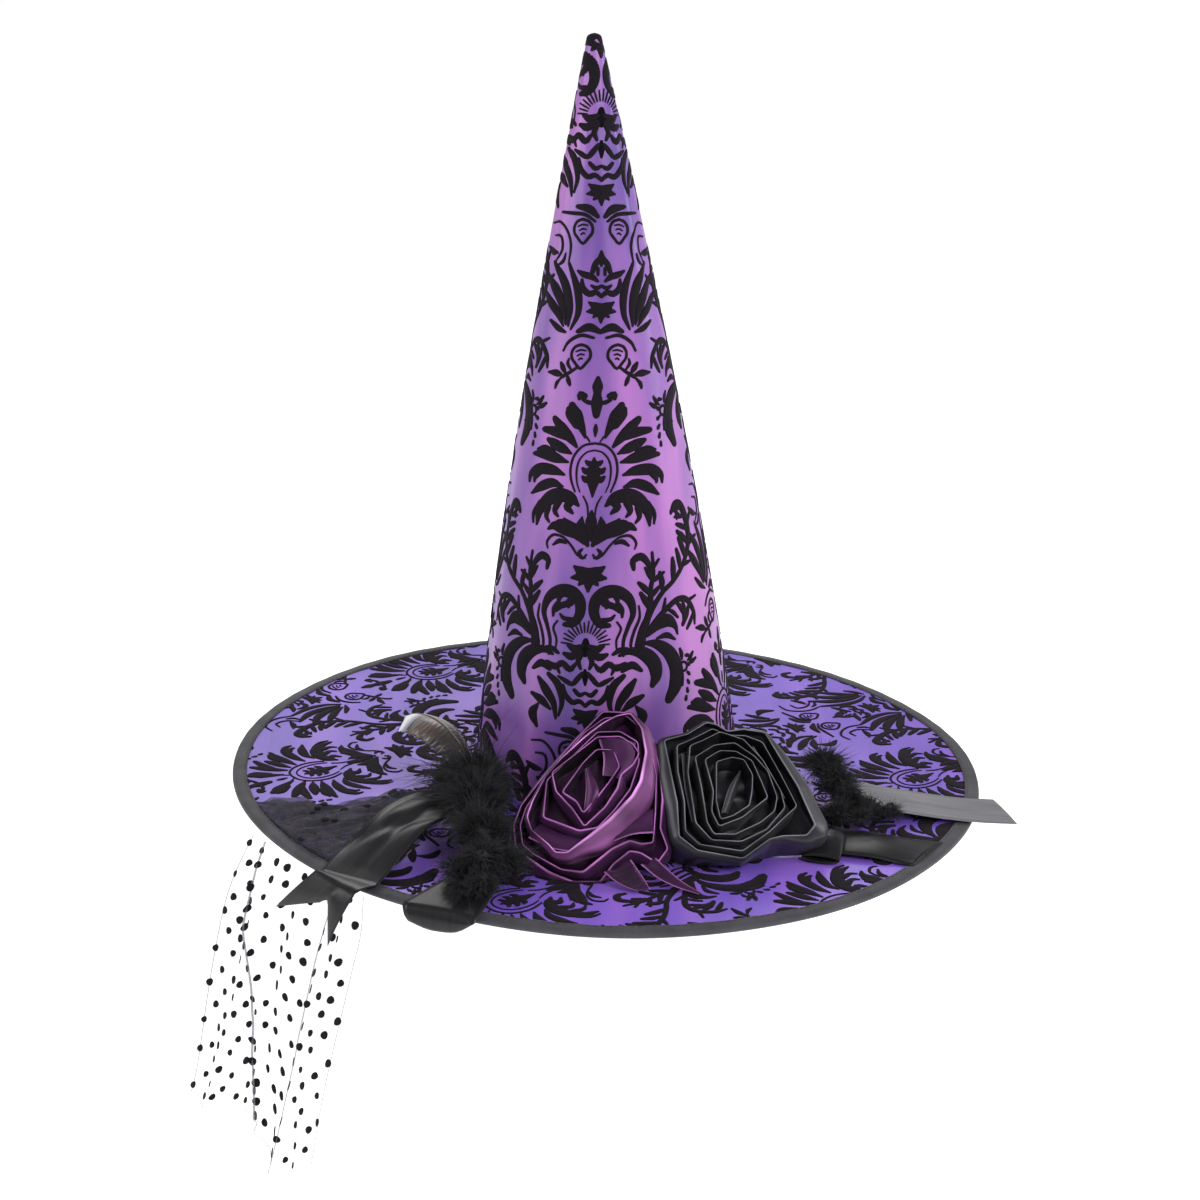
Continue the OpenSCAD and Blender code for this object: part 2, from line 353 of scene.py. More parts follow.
# ---- the crown's and the brim's surfaces ----

BRIM_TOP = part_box("brim_top_cover")[1].z / MM
CROWN_FOOT = BRIM_TOP - 2.5               # the crown's cloth goes down inside the brim, and not out under it
BRIM_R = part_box("brim_binding")[1].x / MM
CROWN_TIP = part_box("crown_cover")[1].z / MM
LEAN = math.radians(2.7)
CROWN_SHIFT = 0.5
CONE_SLOPE = math.radians(11)
FOOT_R, TIP_R, BULGE, S_SHAPE = 88.6, 3.7, 25.0, 7.0
BRIM_HOLE, BRIM_COLUMNS = 86, 288
WAVES_FROM = 95                       # the brim is flat as far out as this
LAYER_R = BRIM_R - 2.6                # the brim's cloth and boards end here, inside the binding
TIP_ROUND = 2.0
SHOULDER = (CROWN_TIP / math.cos(LEAN)) - TIP_ROUND
SATIN_PROUD = 0.55                    # the satin stands this far out from the board's own cover

share = np.linspace(0, 1, 400)
side_r = (FOOT_R * (1 - share) + TIP_R * share + BULGE * share * (1 - share)
          + S_SHAPE * share * (1 - share) * (1 - 2 * share))
side_z = share * SHOULDER
slant = np.concatenate([[0], np.cumsum(np.hypot(np.diff(side_z), np.diff(side_r)))])
SLANT = slant[-1]
APEX = SLANT + TIP_R / 0.21           # where the sides would meet, measured up the slant


def ripple(theta, s):
    """Soft upright ripples of the satin, in millimetres."""
    fade = np.clip(s / 60, 0, 1) * np.clip((SLANT - s) / 120, 0.1, 1)
    return fade * (0.34 * np.sin(6 * theta + 0.7 + s / 160) + 0.26 * np.sin(11 * theta + 1.9 - s / 110)
                   + 0.16 * np.sin(17 * theta + s / 70))


def crown_point(theta, s, lift):
    """Row-frame points in millimetres on the satin, theta round from the front, s up the slant."""
    r = np.interp(s, slant, side_r)
    z = np.interp(s, slant, side_z) + np.maximum(s - SLANT, 0)
    out = SATIN_PROUD + lift + ripple(theta, s)
    radius = r + out * math.cos(CONE_SLOPE)
    z = z + out * math.sin(CONE_SLOPE)
    x, y = radius * np.sin(theta), -radius * np.cos(theta)
    return np.stack([x * math.cos(LEAN) - z * math.sin(LEAN) + CROWN_SHIFT, y,
                     z * math.cos(LEAN) + x * math.sin(LEAN)], -1)


def wave(x, y):
    """How far the brim's edge lifts or dips, in millimetres."""
    edge = np.clip((np.hypot(x, y) - WAVES_FROM) / (BRIM_R - WAVES_FROM), 0, 1) ** 1.6
    turn = np.arctan2(y, x)
    return edge * (1.2 * np.cos(2 * turn) + 0.8 * np.sin(3 * turn + 2.2) + 0.25 * np.sin(9 * turn))


def pucker(x, y):
    """Small soft unevenness of the brim's cloth, in millimetres."""
    turn, r = np.arctan2(y, x), np.hypot(x, y)
    return 0.16 * np.sin(23 * turn + r / 19) + 0.14 * np.sin(14 * turn - r / 27 + 1)


def brim_point(x, y, lift):
    """Row-frame points in millimetres on the brim's satin."""
    z = BRIM_TOP + wave(x, y) + pucker(x, y) + lift
    return np.stack([x + 0 * z, y + 0 * z, z], -1)


def make_crown(material):
    """The satin cone, from just under the brim's top to a small rounded tip."""
    columns, rows = 240, 130
    s = np.linspace(-6, SLANT, rows)
    theta = np.linspace(0, TURN, columns, endpoint=False)
    grid_s, grid_t = np.meshgrid(s, theta, indexing="ij")
    points = crown_point(grid_t, grid_s, 0.0)
    tip_rings = [(0.8, 0.9), (0.45, 1.7)]
    rings = [points]
    top = crown_point(np.zeros(1), np.array([SLANT + TIP_ROUND + 0.6]), -TIP_R)[0]
    centre = points[-1].mean(0)
    for size, rise in tip_rings:
        rings.append((centre + (points[-1] - centre) * size + rise * UP)[None])
    points = np.vstack([r.reshape(-1, 3) for r in rings] + [top[None]])
    faces = grid_faces(rows + len(tip_rings), columns, closed=True)
    last = (rows + len(tip_rings) - 1) * columns
    faces += [(last + j, last + (j + 1) % columns, len(points) - 1) for j in range(columns)]
    keep = points[:, 2] > CROWN_FOOT
    faces = [f for f in faces if keep[list(f)].any()]
    points[:, 2] = np.maximum(points[:, 2], CROWN_FOOT)
    around = np.where(grid_t > math.pi, grid_t - TURN, grid_t)
    uv = np.stack([around * np.interp(grid_s, slant, side_r), grid_s], -1).reshape(-1, 2)
    uv = np.vstack([uv, np.tile(uv[-1], (columns * len(tip_rings) + 1, 1))]) * MM
    made = piece("crown_satin", points * MM, faces, material, "damask_crown", uv=uv)
    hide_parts("crown_cover")


def make_tip_flock(material):
    """The small cap of flock that the pattern leaves on the crown's very tip."""
    columns = 32
    theta = np.linspace(0, TURN, columns, endpoint=False)
    ragged = 1.5 * np.sin(2 * theta + 1) + 0.9 * np.sin(5 * theta)
    rings = [crown_point(theta, SLANT - 3 + down + ragged, lift)
             for down, lift in ((-0.3, -0.15), (0.0, 0.4))]
    rings.append(crown_point(theta, np.full(columns, SLANT), 0.4))
    centre = rings[-1].mean(0)
    for size, rise in ((0.82, 1.2), (0.48, 2.0), (0.15, 2.4)):
        rings.append(centre + (rings[2] - centre) * size + rise * UP)
    points = np.vstack(rings)
    faces = grid_faces(len(rings), columns, True) + [tuple(range(len(points) - columns, len(points)))]
    piece("crown_tip_flock", points * MM, faces, material, "damask_crown")


def ring_grid(radii, z_of):
    """x, y and points of rings round the hat's middle, at the heights that z_of(x, y) gives."""
    turn = np.linspace(0, TURN, BRIM_COLUMNS, endpoint=False)
    r, t = np.meshgrid(radii, turn, indexing="ij")
    x, y = r * np.cos(t), r * np.sin(t)
    return x, y, np.stack([x, y, z_of(x, y)], -1).reshape(-1, 3)


def make_brim_top(material):
    """The brim's satin, stretched from the crown's foot out into the binding."""
    rows = 60
    radii = np.linspace(BRIM_HOLE, LAYER_R, rows)
    x, y, points = ring_grid(radii, lambda x, y: brim_point(x, y, 0.0)[..., 2])
    uv = np.stack([x, y], -1).reshape(-1, 2) * MM
    faces = [f[::-1] for f in grid_faces(rows, BRIM_COLUMNS, True)]
    made = piece("brim_satin", points * MM, faces, material, "damask_brim", uv=uv)
    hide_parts("brim_top_cover")


def make_brim_layer(name, node_name, low, high, material, slot):
    """A flat layer of the brim that follows its gentle waves, closed all round."""
    rows = 24
    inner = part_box("sweatband")[1].x / MM + 0.1
    radii = np.concatenate([np.linspace(inner, LAYER_R, rows), np.linspace(LAYER_R, inner, rows)])
    _, _, points = ring_grid(radii, wave)
    points[:, 2] += np.repeat([high] * rows + [low] * rows, BRIM_COLUMNS)
    made = piece(name, points * MM, ring_faces(2 * rows, BRIM_COLUMNS), material, slot, smooth=False)
    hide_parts(node_name)


def make_binding(material):
    """Bias tape folded over the brim's edge. Its rows of stitches are made by make_stitches."""
    columns, nose, top = 360, BRIM_TOP / 2, BRIM_TOP + 0.5
    edge = BRIM_R - 9.5
    profile = [(edge, BRIM_TOP + 0.1), (edge, top + 0.15), (edge + 1.2, top + 0.45),
               (BRIM_R - 4, top + 0.2), (BRIM_R - 1.2, top - 0.2), (BRIM_R - 0.2, nose + 0.9),
               (BRIM_R, nose)]
    low = [(r, 2 * nose - z) for r, z in profile[::-1]][1:]
    profile = np.array(profile + low + [(edge + 0.5, -0.05), (edge + 0.5, BRIM_TOP + 0.05)])
    rows, turn = len(profile), np.linspace(0, TURN, columns, endpoint=False)
    r, high = profile[:, :1], profile[:, 1:]
    x, y = r * np.cos(turn), r * np.sin(turn)
    z = high + wave(x, y) + 0.12 * np.sin(61 * turn) * (high > nose)
    points = np.stack([x, y, z], -1).reshape(-1, 3)
    along = np.tile(turn * BRIM_R, rows)
    across = np.repeat(np.arange(rows) * 2.4, columns)
    made = piece("binding_tape", points * MM, ring_faces(rows, columns), material, "binding_tape",
                 uv=np.stack([along, across], -1) * MM)
    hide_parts("brim_binding")


def capsule_row(places, directions, ups, length, radius):
    """Small pointed threads, each a six-sided bead along its direction."""
    points, faces, flatness = [], [], 0.7
    rings = [(-0.5, 0.35), (-0.3, 1.0), (0.3, 1.0), (0.5, 0.35)]
    for p, d, u in zip(places, directions, ups):
        side = np.cross(d, u)
        start = len(points)
        for along, size in rings:
            for k in range(6):
                a = k * math.pi / 3
                round_it = side * math.cos(a) + u * flatness * math.sin(a)
                points.append(p + d * along * length + round_it * radius * size)
        faces += shifted(grid_faces(4, 6, True) + [(5, 4, 3, 2, 1, 0), (18, 19, 20, 21, 22, 23)], start)
    return np.array(points), faces


def make_stitches(material):
    """A row of stitches on each face of the binding."""
    pitch, stitch, inset, thread_r = 4.4, 3.1, 7.8, 0.28
    r = BRIM_R - inset
    count = int(TURN * r / pitch)
    turn = np.arange(count) * TURN / count
    x, y = r * np.cos(turn), r * np.sin(turn)
    along = np.stack([-np.sin(turn), np.cos(turn), 0 * turn], -1)
    up = np.tile([0.0, 0, 1], (count, 1))
    points, faces = [], []
    for z in (BRIM_TOP + 1.0, -1.0):
        place = np.stack([x, y, z + wave(x, y)], -1)
        row, row_faces = capsule_row(place, along, up, stitch, thread_r)
        faces += shifted(row_faces, sum(map(len, points)))
        points.append(row)
    piece("binding_stitches", np.vstack(points) * MM, faces, material, "thread")


def make_wire(material):
    """The hoop of wire inside the brim's edge."""
    radius, hoop_r, sides, columns = 0.9, BRIM_R - 1.55, 8, 240
    turn = np.linspace(0, TURN, columns, endpoint=False)
    around = np.linspace(0, TURN, sides, endpoint=False)[:, None]
    r = hoop_r + radius * np.cos(around)
    x, y = r * np.cos(turn), r * np.sin(turn)
    z = BRIM_TOP / 2 + radius * np.sin(around) + wave(x, y)
    points = np.stack([x, y, z], -1).reshape(-1, 3)
    made = piece("hoop_wire", points * MM, ring_faces(sides, columns), material, "hoop_wire")
    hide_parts("brim_wire")


# ---- the damask pattern, as strokes of (across, up, width) on the flat cloth, in millimetres ----

def turned(stroke, angle, du, dv, scale=1.0):
    """A stroke turned by degrees, scaled and moved."""
    c, s = math.cos(math.radians(angle)), math.sin(math.radians(angle))
    return [(du + scale * (u * c - v * s), dv + scale * (u * s + v * c), w * scale) for u, v, w in stroke]


def leaflets(line, places, fat):
    """Leaves on a rib: places holds (share along the rib, degrees off its heading, length, curl)."""
    dense = through(line, 1.0)
    strokes = []
    for share_along, angle, length, curl in places:
        k = min(int(share_along * (len(dense) - 1)), len(dense) - 2)
        heading = math.degrees(math.atan2(dense[k + 1][1] - dense[k][1], dense[k + 1][0] - dense[k][0]))
        leaf = [(0, 0, 1.6), (0.45 * length, 0.1 * curl * length, fat * length),
                (0.85 * length, 0.42 * curl * length, 0.2 * length)]
        strokes.append(turned(leaf, heading + angle, dense[k][0], dense[k][1]))
    return strokes


def palmette(v, size=1.0):
    """Seven lobes that hang and spread."""
    strokes = []
    for k in range(-3, 4):
        length = (13, 10.5, 12, 10)[abs(k)]
        bend = 1.2 * k
        lobe = [(0, 0, 5), (0.55 * length, 0.3 * bend, 5.6), (0.9 * length, bend, 2.6)]
        strokes.append(turned(lobe, -90 + 29 * k, 0, v + 4.5 * size, size))
    return strokes


def ring(u, v, radius, width, drop=0.0):
    """A ring, pointed below by drop."""
    bottom = 5
    return [(u + radius * math.sin(k * math.pi / bottom),
             v + radius * math.cos(k * math.pi / bottom) - (drop if k == bottom else 0), width)
            for k in range(2 * bottom + 1)]


def medallion():
    """The large palmette in its pointed frame: its right half's strokes, and those on its middle line."""
    right = [
        [(8, 46.5, 4), (10.5, 47, 5), (11, 45.2, 3)],
        [(8.5, 44, 2.4), (5, 42.4, 3), (1, 42, 2)],
        [(6, 20, 1.6), (9, 27, 5), (13, 34, 9), (15.5, 40, 5)],
        [(12, 29, 6), (17, 35, 5.5), (18, 38, 3.5)],
        [(11, 14, 1.8), (16, 20, 5.5), (22, 26, 7), (27.5, 31.5, 4.5)],
        [(17, 20, 4), (26, 23.5, 6), (35.5, 25, 4)],
        [(15, 10.5, 2), (21, 13.5, 6), (28, 16.5, 6), (32, 18.5, 3.5)],
        [(17, 5, 2), (26, 7.5, 6.5), (36, 9.5, 6), (43, 9.5, 3)],
        [(28, 11, 4), (35, 13, 4.5), (40, 12.5, 2.5)],
        [(19, -3, 2), (27, -0.5, 6), (38, 0, 7), (45.5, -3.5, 4.5), (46.5, -8, 2.4)],
        [(38, -3, 3), (42, -6, 3.5), (42, -9, 1.6)],
        [(19, -11, 1.8), (27, -8.5, 5.5), (36, -11, 6), (43.5, -15.5, 2.4)],
        [(9, -22, 2.6), (14, -17.5, 7), (22, -16, 9), (30, -19, 9), (36.5, -26, 6.5), (38.5, -35, 2.4)],
        [(37, -20, 1.6), (41.5, -28, 3), (41.5, -35, 1.6)],
        [(12, -19, 4), (16, -23, 5), (12.5, -27, 2.4)],
        [(22, -20, 5), (24.5, -26, 4), (21.5, -30, 1.6)],
        [(30, -24, 5), (31, -30, 3.6), (28, -34, 1.6)],
        [(1.8, -47, 3), (4.8, -41, 7), (6.6, -35, 6), (6, -30, 2)],
        [(4, -45, 4), (9.5, -39, 8), (14.5, -34.5, 5.5), (17.5, -31, 2)],
        [(9, -41, 5), (17, -38, 6.5), (24, -35.5, 5.5), (28.5, -37.5, 2.6)],
        [(15, -35, 4), (19.5, -33, 4), (23, -32.5, 1.6)],
        [(2.4, -55.5, 1.6), (7.5, -54, 1.8), (12.5, -47.5, 1.8), (18, -42.5, 1.8), (25, -41.5, 2.2),
         (29.5, -46, 2.2), (28.5, -50.5, 1.2)],
        [(15, -46.5, 1.6), (20, -45, 3.4), (25, -48, 1.6)],
        [(4.5, -49.5, 1.4), (7, -52.5, 3), (4.4, -55.6, 2.4), (1.8, -53, 1.4)],
        [(0, 17, 1.8), (7, 15.4, 1.8), (12.6, 9.5, 1.9), (14.8, 1.5, 1.9), (14.2, -6, 1.8), (11.2, -14, 1.4)],
        [(0, 12.6, 1.3), (5, 11.2, 1.3), (9.2, 6.5, 1.5), (10.8, 0, 1.6), (10.2, -8, 1.3), (8, -14, 1)],
        [(6, -16, 1.1), (3, -22, 1.5), (2, -30, 1.3)],
        [(1, 4, 3), (3.6, 4.4, 3.6), (5.6, 6.2, 1.4)],
        [(1, 0, 4), (5, -0.6, 4.2), (7.4, 1.8, 1.6)],
        [(1, -5, 4), (4.8, -5.8, 4.4), (7.4, -3.4, 1.4)],
        [(9.2, 24.5, 1), (5.5, 21, 1.6), (3, 17.6, 1)],
    ]
    middle = [
        [(0, 57, 3.4), (0, 52.5, 6.4), (0, 48, 4.8), (0, 42, 7), (0, 35, 4.6)],
        [(0, 29, 1.6), (0, 25.5, 3.2), (0, 21, 1.2)],
        [(0, 7.4, 2), (0, 2, 6.5), (0, -6, 8), (0, -11.5, 4.5), (0, -17, 1.2)],
        [(0, -25, 1.2), (0, -32, 7), (0, -38, 4), (0, -45, 1)],
    ]
    return right, middle


def volutes():
    """A pair of heavy scrolls with twin stems, and the fan of short rays that they hold."""
    right = [
        [(20.5, -90, 2.2), (17, -86.5, 4), (11, -84.5, 4.4)],
        [(19, -84, 3), (22, -88.5, 3.4), (22.5, -94, 1.8)],
        [(14, -98.5, 3.4), (8.5, -97.5, 5), (4.6, -91, 6.2), (5.2, -83, 7.4), (11, -77.5, 8.4),
         (19, -77, 7.6), (26.5, -82, 6), (29.5, -91, 4), (26.5, -100, 3), (24, -109, 2.6),
         (24.5, -118, 2.2)],
        [(7, -80, 4), (12, -83.5, 4), (12, -88, 1.8)],
        [(17, -78, 5), (19, -83, 3), (17.5, -86.5, 1.4)],
        [(10, -95, 3), (15, -94.5, 3), (18, -91.5, 1.4)],
        [(33, -86, 1.6), (34, -94, 2.2), (31, -102, 2.4), (29, -110, 2.4), (29.5, -117, 2)],
        [(19, -96, 1.6), (22, -101, 2), (19.5, -108, 1.8), (20, -115, 1.6)],
    ]
    rays = []
    for k in range(16):
        long = k % 2                  # every other ray is a little longer
        rays.append(turned([(8.5, 0, 1), (12, 0, 1.5), (15.5 + long, 0, 1.1)], 6 + k * 168 / 15, 0, -112))
    return right, rays


def branches():
    """The long leafy branches that rise beside the medallion, and the claw that arches over them."""
    def near(line):
        return [(u if u < 48 else 48 + 0.62 * (u - 48), v, w) for u, v, w in line]

    stem = near([(35, -112, 7), (37, -101, 5.5), (42, -90, 4), (50, -79, 3.4), (63, -72, 3.4),
                 (75, -64, 3.6), (84, -54, 4), (86.5, -43, 5), (82, -32, 5.4), (73, -23.5, 5.4),
                 (64, -23, 4.6), (59, -28, 3)])
    second = [(38, -100, 5), (41, -88, 4.4), (41, -76, 3.6), (42.5, -66, 3), (41, -53, 2.4)]
    arch = near([(36, -110, 2.6), (44, -98, 3.2), (57, -89, 3.8), (70, -84, 4), (84, -85, 4),
                 (95, -93, 3.6), (97, -101, 2)])
    right = [stem, second, arch]
    right += leaflets(stem, [(0.33, 40, 15, 0.4), (0.41, 36, 17, 0.4), (0.49, 42, 16, 0.4),
                             (0.57, 42, 17, 0.4), (0.65, 48, 16, 0.4), (0.73, 50, 14, 0.3),
                             (0.81, 58, 12, 0.2), (0.88, 66, 12, -0.2), (0.95, 76, 11, -0.3),
                             (0.99, 100, 9, -0.3), (0.64, -32, 13, -0.4), (0.76, -28, 12, -0.3),
                             (0.52, -26, 11, -0.3)], 0.28)
    right += leaflets(second, [(0.22, 32, 15, 0.3), (0.42, 34, 14, 0.3), (0.62, 34, 12, 0.3),
                               (0.38, -34, 12, -0.3), (0.6, -34, 12, -0.2), (0.8, -30, 9, -0.2)], 0.3)
    right += leaflets(arch, [(0.42, -58, 12, -0.5), (0.53, -60, 15, -0.5), (0.64, -62, 17, -0.5),
                             (0.76, -56, 17, -0.4), (0.88, -46, 14, -0.3), (0.35, 24, 11, 0.4),
                             (0.72, 36, 10, 0.4)], 0.26)
    right += [[(41.5, -66, 2.4), (38, -59, 4), (33, -55, 5), (28, -57.5, 4.4), (28.5, -62.5, 3)],
              [(40, -106, 2.4), (47, -99, 7.5), (54, -97, 8.5), (60, -101, 4), (62, -106, 2)],
              [(47, -108, 2), (54, -106.5, 4), (60, -109.5, 2)]]
    return right


def crest_and_claws():
    """The bottom crest with a crown of scrolls under it, and the big leaves at each side."""
    right = [
        [(0, -109, 4), (0, -113, 6), (0, -117, 4)],
        [(2, -112, 3), (7, -114, 5), (11, -112, 3)],
        [(3, -116, 3.4), (9, -119, 5), (13.5, -117.5, 3)],
        [(2, -117, 3), (4.5, -122, 3.6), (3, -126.5, 2.4)],
        [(6, -123.5, 2.2), (10, -127.5, 4), (15, -123.5, 4), (18.5, -126, 3.2), (17, -130, 2)],
        [(2, -130, 3), (5, -133.5, 3.6), (8.5, -137, 3.2), (13, -135, 3.4), (17.5, -132.5, 2.2)],
        [(14.5, -138, 2.2), (13.2, -144, 3.6), (8.5, -149, 3.6), (4, -148, 3.2), (0, -151, 2.6)],
        [(7, -141, 2.8), (3.8, -144, 3.2), (0, -142.5, 2.2)],
        [(0, -128, 2.4), (0, -132, 4), (0, -137, 2)],
        # the two big leaves on each side
        [(38, -110.5, 2.4), (47, -112, 6), (56, -118, 9), (61.5, -128, 10.5), (61, -139, 10), (56, -148, 6)],
        [(22, -118, 2.4), (29, -115.5, 4.6), (38, -117.5, 8.5), (45, -124, 10), (46.5, -132, 8),
         (44, -138, 4)],
        [(18, -117, 2.6), (22, -114.5, 3.6), (26.5, -113.5, 2)],
        [(15, -124, 2.6), (20.5, -126, 4.6), (25.5, -123.5, 3)],
        [(24, -128, 3), (30, -124.5, 5), (36, -128, 3)],
        [(18, -158, 2), (15.5, -149, 3.6), (18, -138, 5), (24.5, -131.5, 3.4)],
        [(20, -160, 2), (21.5, -150, 4.6), (27, -141.5, 6), (32, -134.5, 3)],
        [(24, -154, 2.4), (30, -149, 5.4), (37, -145, 3)],
        [(33, -152, 2.4), (37, -158, 6.5), (34, -166, 2.8)],
    ]
    right += [turned([(0, 0, 1.8), (2.6, 0, 3)], -20 * k, 68.5 + 2 * math.sin(0.5 * k), -121 - 5.2 * k)
              for k in range(6)]
    return right + branches()


def crown_motif(v):
    """A pointed dome between horns, on a wavy base, with a fan of leaves at each side."""
    right = [
        [(0, v + 8, 3.4), (3.6, v + 4, 3.8), (5.5, v - 1, 3.2)],
        [(2.2, v + 1, 2.4), (2.2, v - 2.5, 2.4)],
        [(14.5, v - 0.5, 2.2), (11, v - 2.5, 4), (6, v - 4, 4), (2.6, v - 6.5, 2.4)],
        [(12, v - 6, 2.4), (11.5, v - 11, 4), (7.5, v - 14.5, 4), (3.5, v - 13.5, 3.4), (0, v - 16, 2.6)],
        [(6, v - 9.5, 2), (3, v - 11, 3), (0, v - 9.5, 2)],
        [(19, v - 36, 2), (14.5, v - 26, 4), (15, v - 12, 5), (21, v + 4, 2.6)],
        [(21, v - 34, 2), (20.5, v - 22, 5), (24.5, v - 8, 6.4), (33, v + 5, 3)],
        [(23, v - 33, 2), (26, v - 22, 5.4), (32, v - 11, 6.4), (40.5, v - 2, 3)],
        [(25, v - 34, 2), (30, v - 26, 5), (37, v - 18.5, 5.6), (43.5, v - 12, 2.6)],
        [(23, v - 38, 2), (29, v - 35.5, 4), (35, v - 31, 2.6)],
    ]
    middle = [[(0, v + 11, 2.4), (0, v + 6.5, 5), (0, v + 3, 2)]]
    return right, middle


def ring_pair(v, upward):
    """Two small hatched rings with arcs over them, and sprigs or scrolls outside."""
    right = [ring(11.5, v, 6.2, 2.2, 2.4)]
    right += [[(8 + k, v + 2.4 - 2.6 * k, 1.1), (11.5, v + 3 - 2.6 * k, 1.5),
               (15 - k, v + 1.8 - 2.6 * k, 1.1)]
              for k in range(3)]
    if upward:
        right += [
            [(0, v + 14, 3), (7, v + 17, 5), (14, v + 14.5, 3)],
            [(4, v + 10.5, 2), (12, v + 12, 2.6), (20, v + 8, 2.4), (24, v + 2, 1.8)],
            [(13, v - 7.5, 2), (17.5, v - 10.5, 2.4), (22, v - 13, 2.6), (26, v - 15.5, 1.4)],
            [(21, v - 12, 1.6), (23.5, v - 8, 4), (25.5, v - 4.5, 1.8)],
            [(23, v - 13, 1.6), (28.5, v - 11.5, 4.4), (34.5, v - 11, 2)],
            [(20, v - 12.5, 1.6), (19, v - 16, 3.4), (17.5, v - 19.5, 1.8)],
            [(25, v - 15, 1.6), (28, v - 18, 3), (29, v - 21.5, 1.6)],
            [(17, v - 10, 1.4), (20, v - 5.5, 2.6), (19, v - 2, 1.2)],
        ]
    else:
        right += [
            [(2.5, v + 8, 3), (7.5, v + 12.5, 5), (15, v + 14, 3)],
            [(4, v + 5, 2), (10, v + 9, 2.6), (18, v + 10, 2.6), (27, v + 11, 2)],
            [(38, v + 5, 1.4), (29, v + 5, 2), (22.5, v - 1.5, 2.2), (20, v - 10, 2.2), (21.5, v - 20, 1.4)],
            [(32, v - 19, 1.4), (27, v - 12, 2.2), (28, v - 4, 2.2), (35, v - 3, 1.4)],
            [(30, v - 14, 1.6), (36, v - 13, 4.4), (42, v - 9.5, 1.8)],
            [(24, v - 14, 1.4), (26, v - 19, 2.8), (31, v - 22, 1.2)],
        ]
    return right


def small_flower(u, v):
    """A ring with petals."""
    petal = [(4.5, 0, 1.2), (8.5, 0.6, 3.4), (13, 0, 1.8)]
    return [ring(u, v, 3, 2.2)] + [turned(petal, a, u, v) for a in (135, 158, 75, -35, -62, -85)]


def damask_repeat():
    """All the strokes of one repeat: the middle, the right half, and its mirror image."""
    right, middle = medallion()
    scrolls, rays = volutes()
    right += scrolls + crest_and_claws() + ring_pair(72, True) + ring_pair(-181, False)
    right += small_flower(47, 37)
    middle += rays + palmette(-69) + palmette(-160, 0.8) + palmette(98, 0.8)
    side, centre = crown_motif(124)
    right += side
    middle += centre
    thin_line, fuller, most = 2.2, 0.3, 1.1   # strokes wider than a thin line spread a little in the flock

    def spread(strokes):
        return [[(u, v, w + min(most, fuller * max(0, w - thin_line))) for u, v, w in stroke]
                for stroke in strokes]

    right, middle = spread(right), spread(middle)
    mirrored = [[(-u, v, w) for u, v, w in stroke] for stroke in right]
    return [round_ends(through(stroke, 1.9)) for stroke in right + middle + mirrored]


def round_ends(line):
    """Adds a rounded end past each end of a stroke that is still wide there."""
    for _ in range(2):
        line = line[::-1]
        tip, before = line[-1], line[-2]
        half = tip[2] / 2
        if half > 0.9:
            ahead = unit(tip[:2] - before[:2])
            caps = [[*(tip[:2] + ahead * half * math.sin(a)), tip[2] * math.cos(a)] for a in (0.6, 1.1, 1.5)]
            line = np.vstack([line, caps])
    return line


REPEAT, HALF_WIDTH = 330, 114.5           # how far apart the repeats are, up the cloth and across it


def flock_strips(place, inside, u_cells, v_cells):
    """Flock strokes on a surface: place(u, v, lift) gives its points, inside(u, v) says where cloth is."""
    points, faces, height, shortest = [], [], 0.45, 3
    cross = [(-0.5, -0.12), (-0.36, height * 0.8), (0, height), (0.36, height * 0.8), (0.5, -0.12)]
    for column in u_cells:
        for row in v_cells:
            du, dv = column * HALF_WIDTH, row * REPEAT + (REPEAT / 2 if column % 2 else 0)
            for stroke in PATTERN:
                u, v, w = stroke[:, 0] + du, stroke[:, 1] + dv, np.maximum(stroke[:, 2], 0.4)
                good = inside(u, v)
                first = int(np.argmax(good))
                count = int(np.argmin(np.append(good[first:], False)))
                if count < shortest:
                    continue
                u, v, w = (values[first:first + count] for values in (u, v, w))
                tangent = unit(np.stack([np.gradient(u), np.gradient(v)], -1))
                rows = [place(u - tangent[:, 1] * w * side, v + tangent[:, 0] * w * side,
                              np.full(count, lift))
                        for side, lift in cross]
                stroke_faces = grid_faces(count, 5)
                stroke_faces += [(i * 5 + 4, i * 5, i * 5 + 5, i * 5 + 9) for i in range(count - 1)]
                stroke_faces += [(0, 1, 2, 3, 4), tuple(5 * (count - 1) + k for k in (4, 3, 2, 1, 0))]
                faces += shifted(stroke_faces, sum(map(len, points)))
                points.append(np.stack(rows, 1).reshape(-1, 3))
    return np.vstack(points), faces


def crown_from_cloth(u, v):
    """The flat cloth wrapped round the cone, where distances are kept: gives theta and s."""
    u = u + CLOTH_LEAN * np.clip(v, -120, 100)
    down = APEX - MEDALLION_S - v
    rho, turn = np.hypot(u, down), np.arctan2(u, down)
    s = APEX - rho
    r = np.interp(s, slant, side_r) + SATIN_PROUD
    return rho * turn / r + CLOTH_TURN, s


MEDALLION_S = 227.0                   # the front medallion's centre, up the crown's slant
CLOTH_TURN, CLOTH_LEAN = -0.07, 0.05  # the cloth sits a little turned and slanted on the cone
BRIM_MEDALLION = (-193.0, -33.0)      # a medallion's centre on the brim
BRIM_UP = (-0.79, -0.61)              # which way is up the brim's cloth


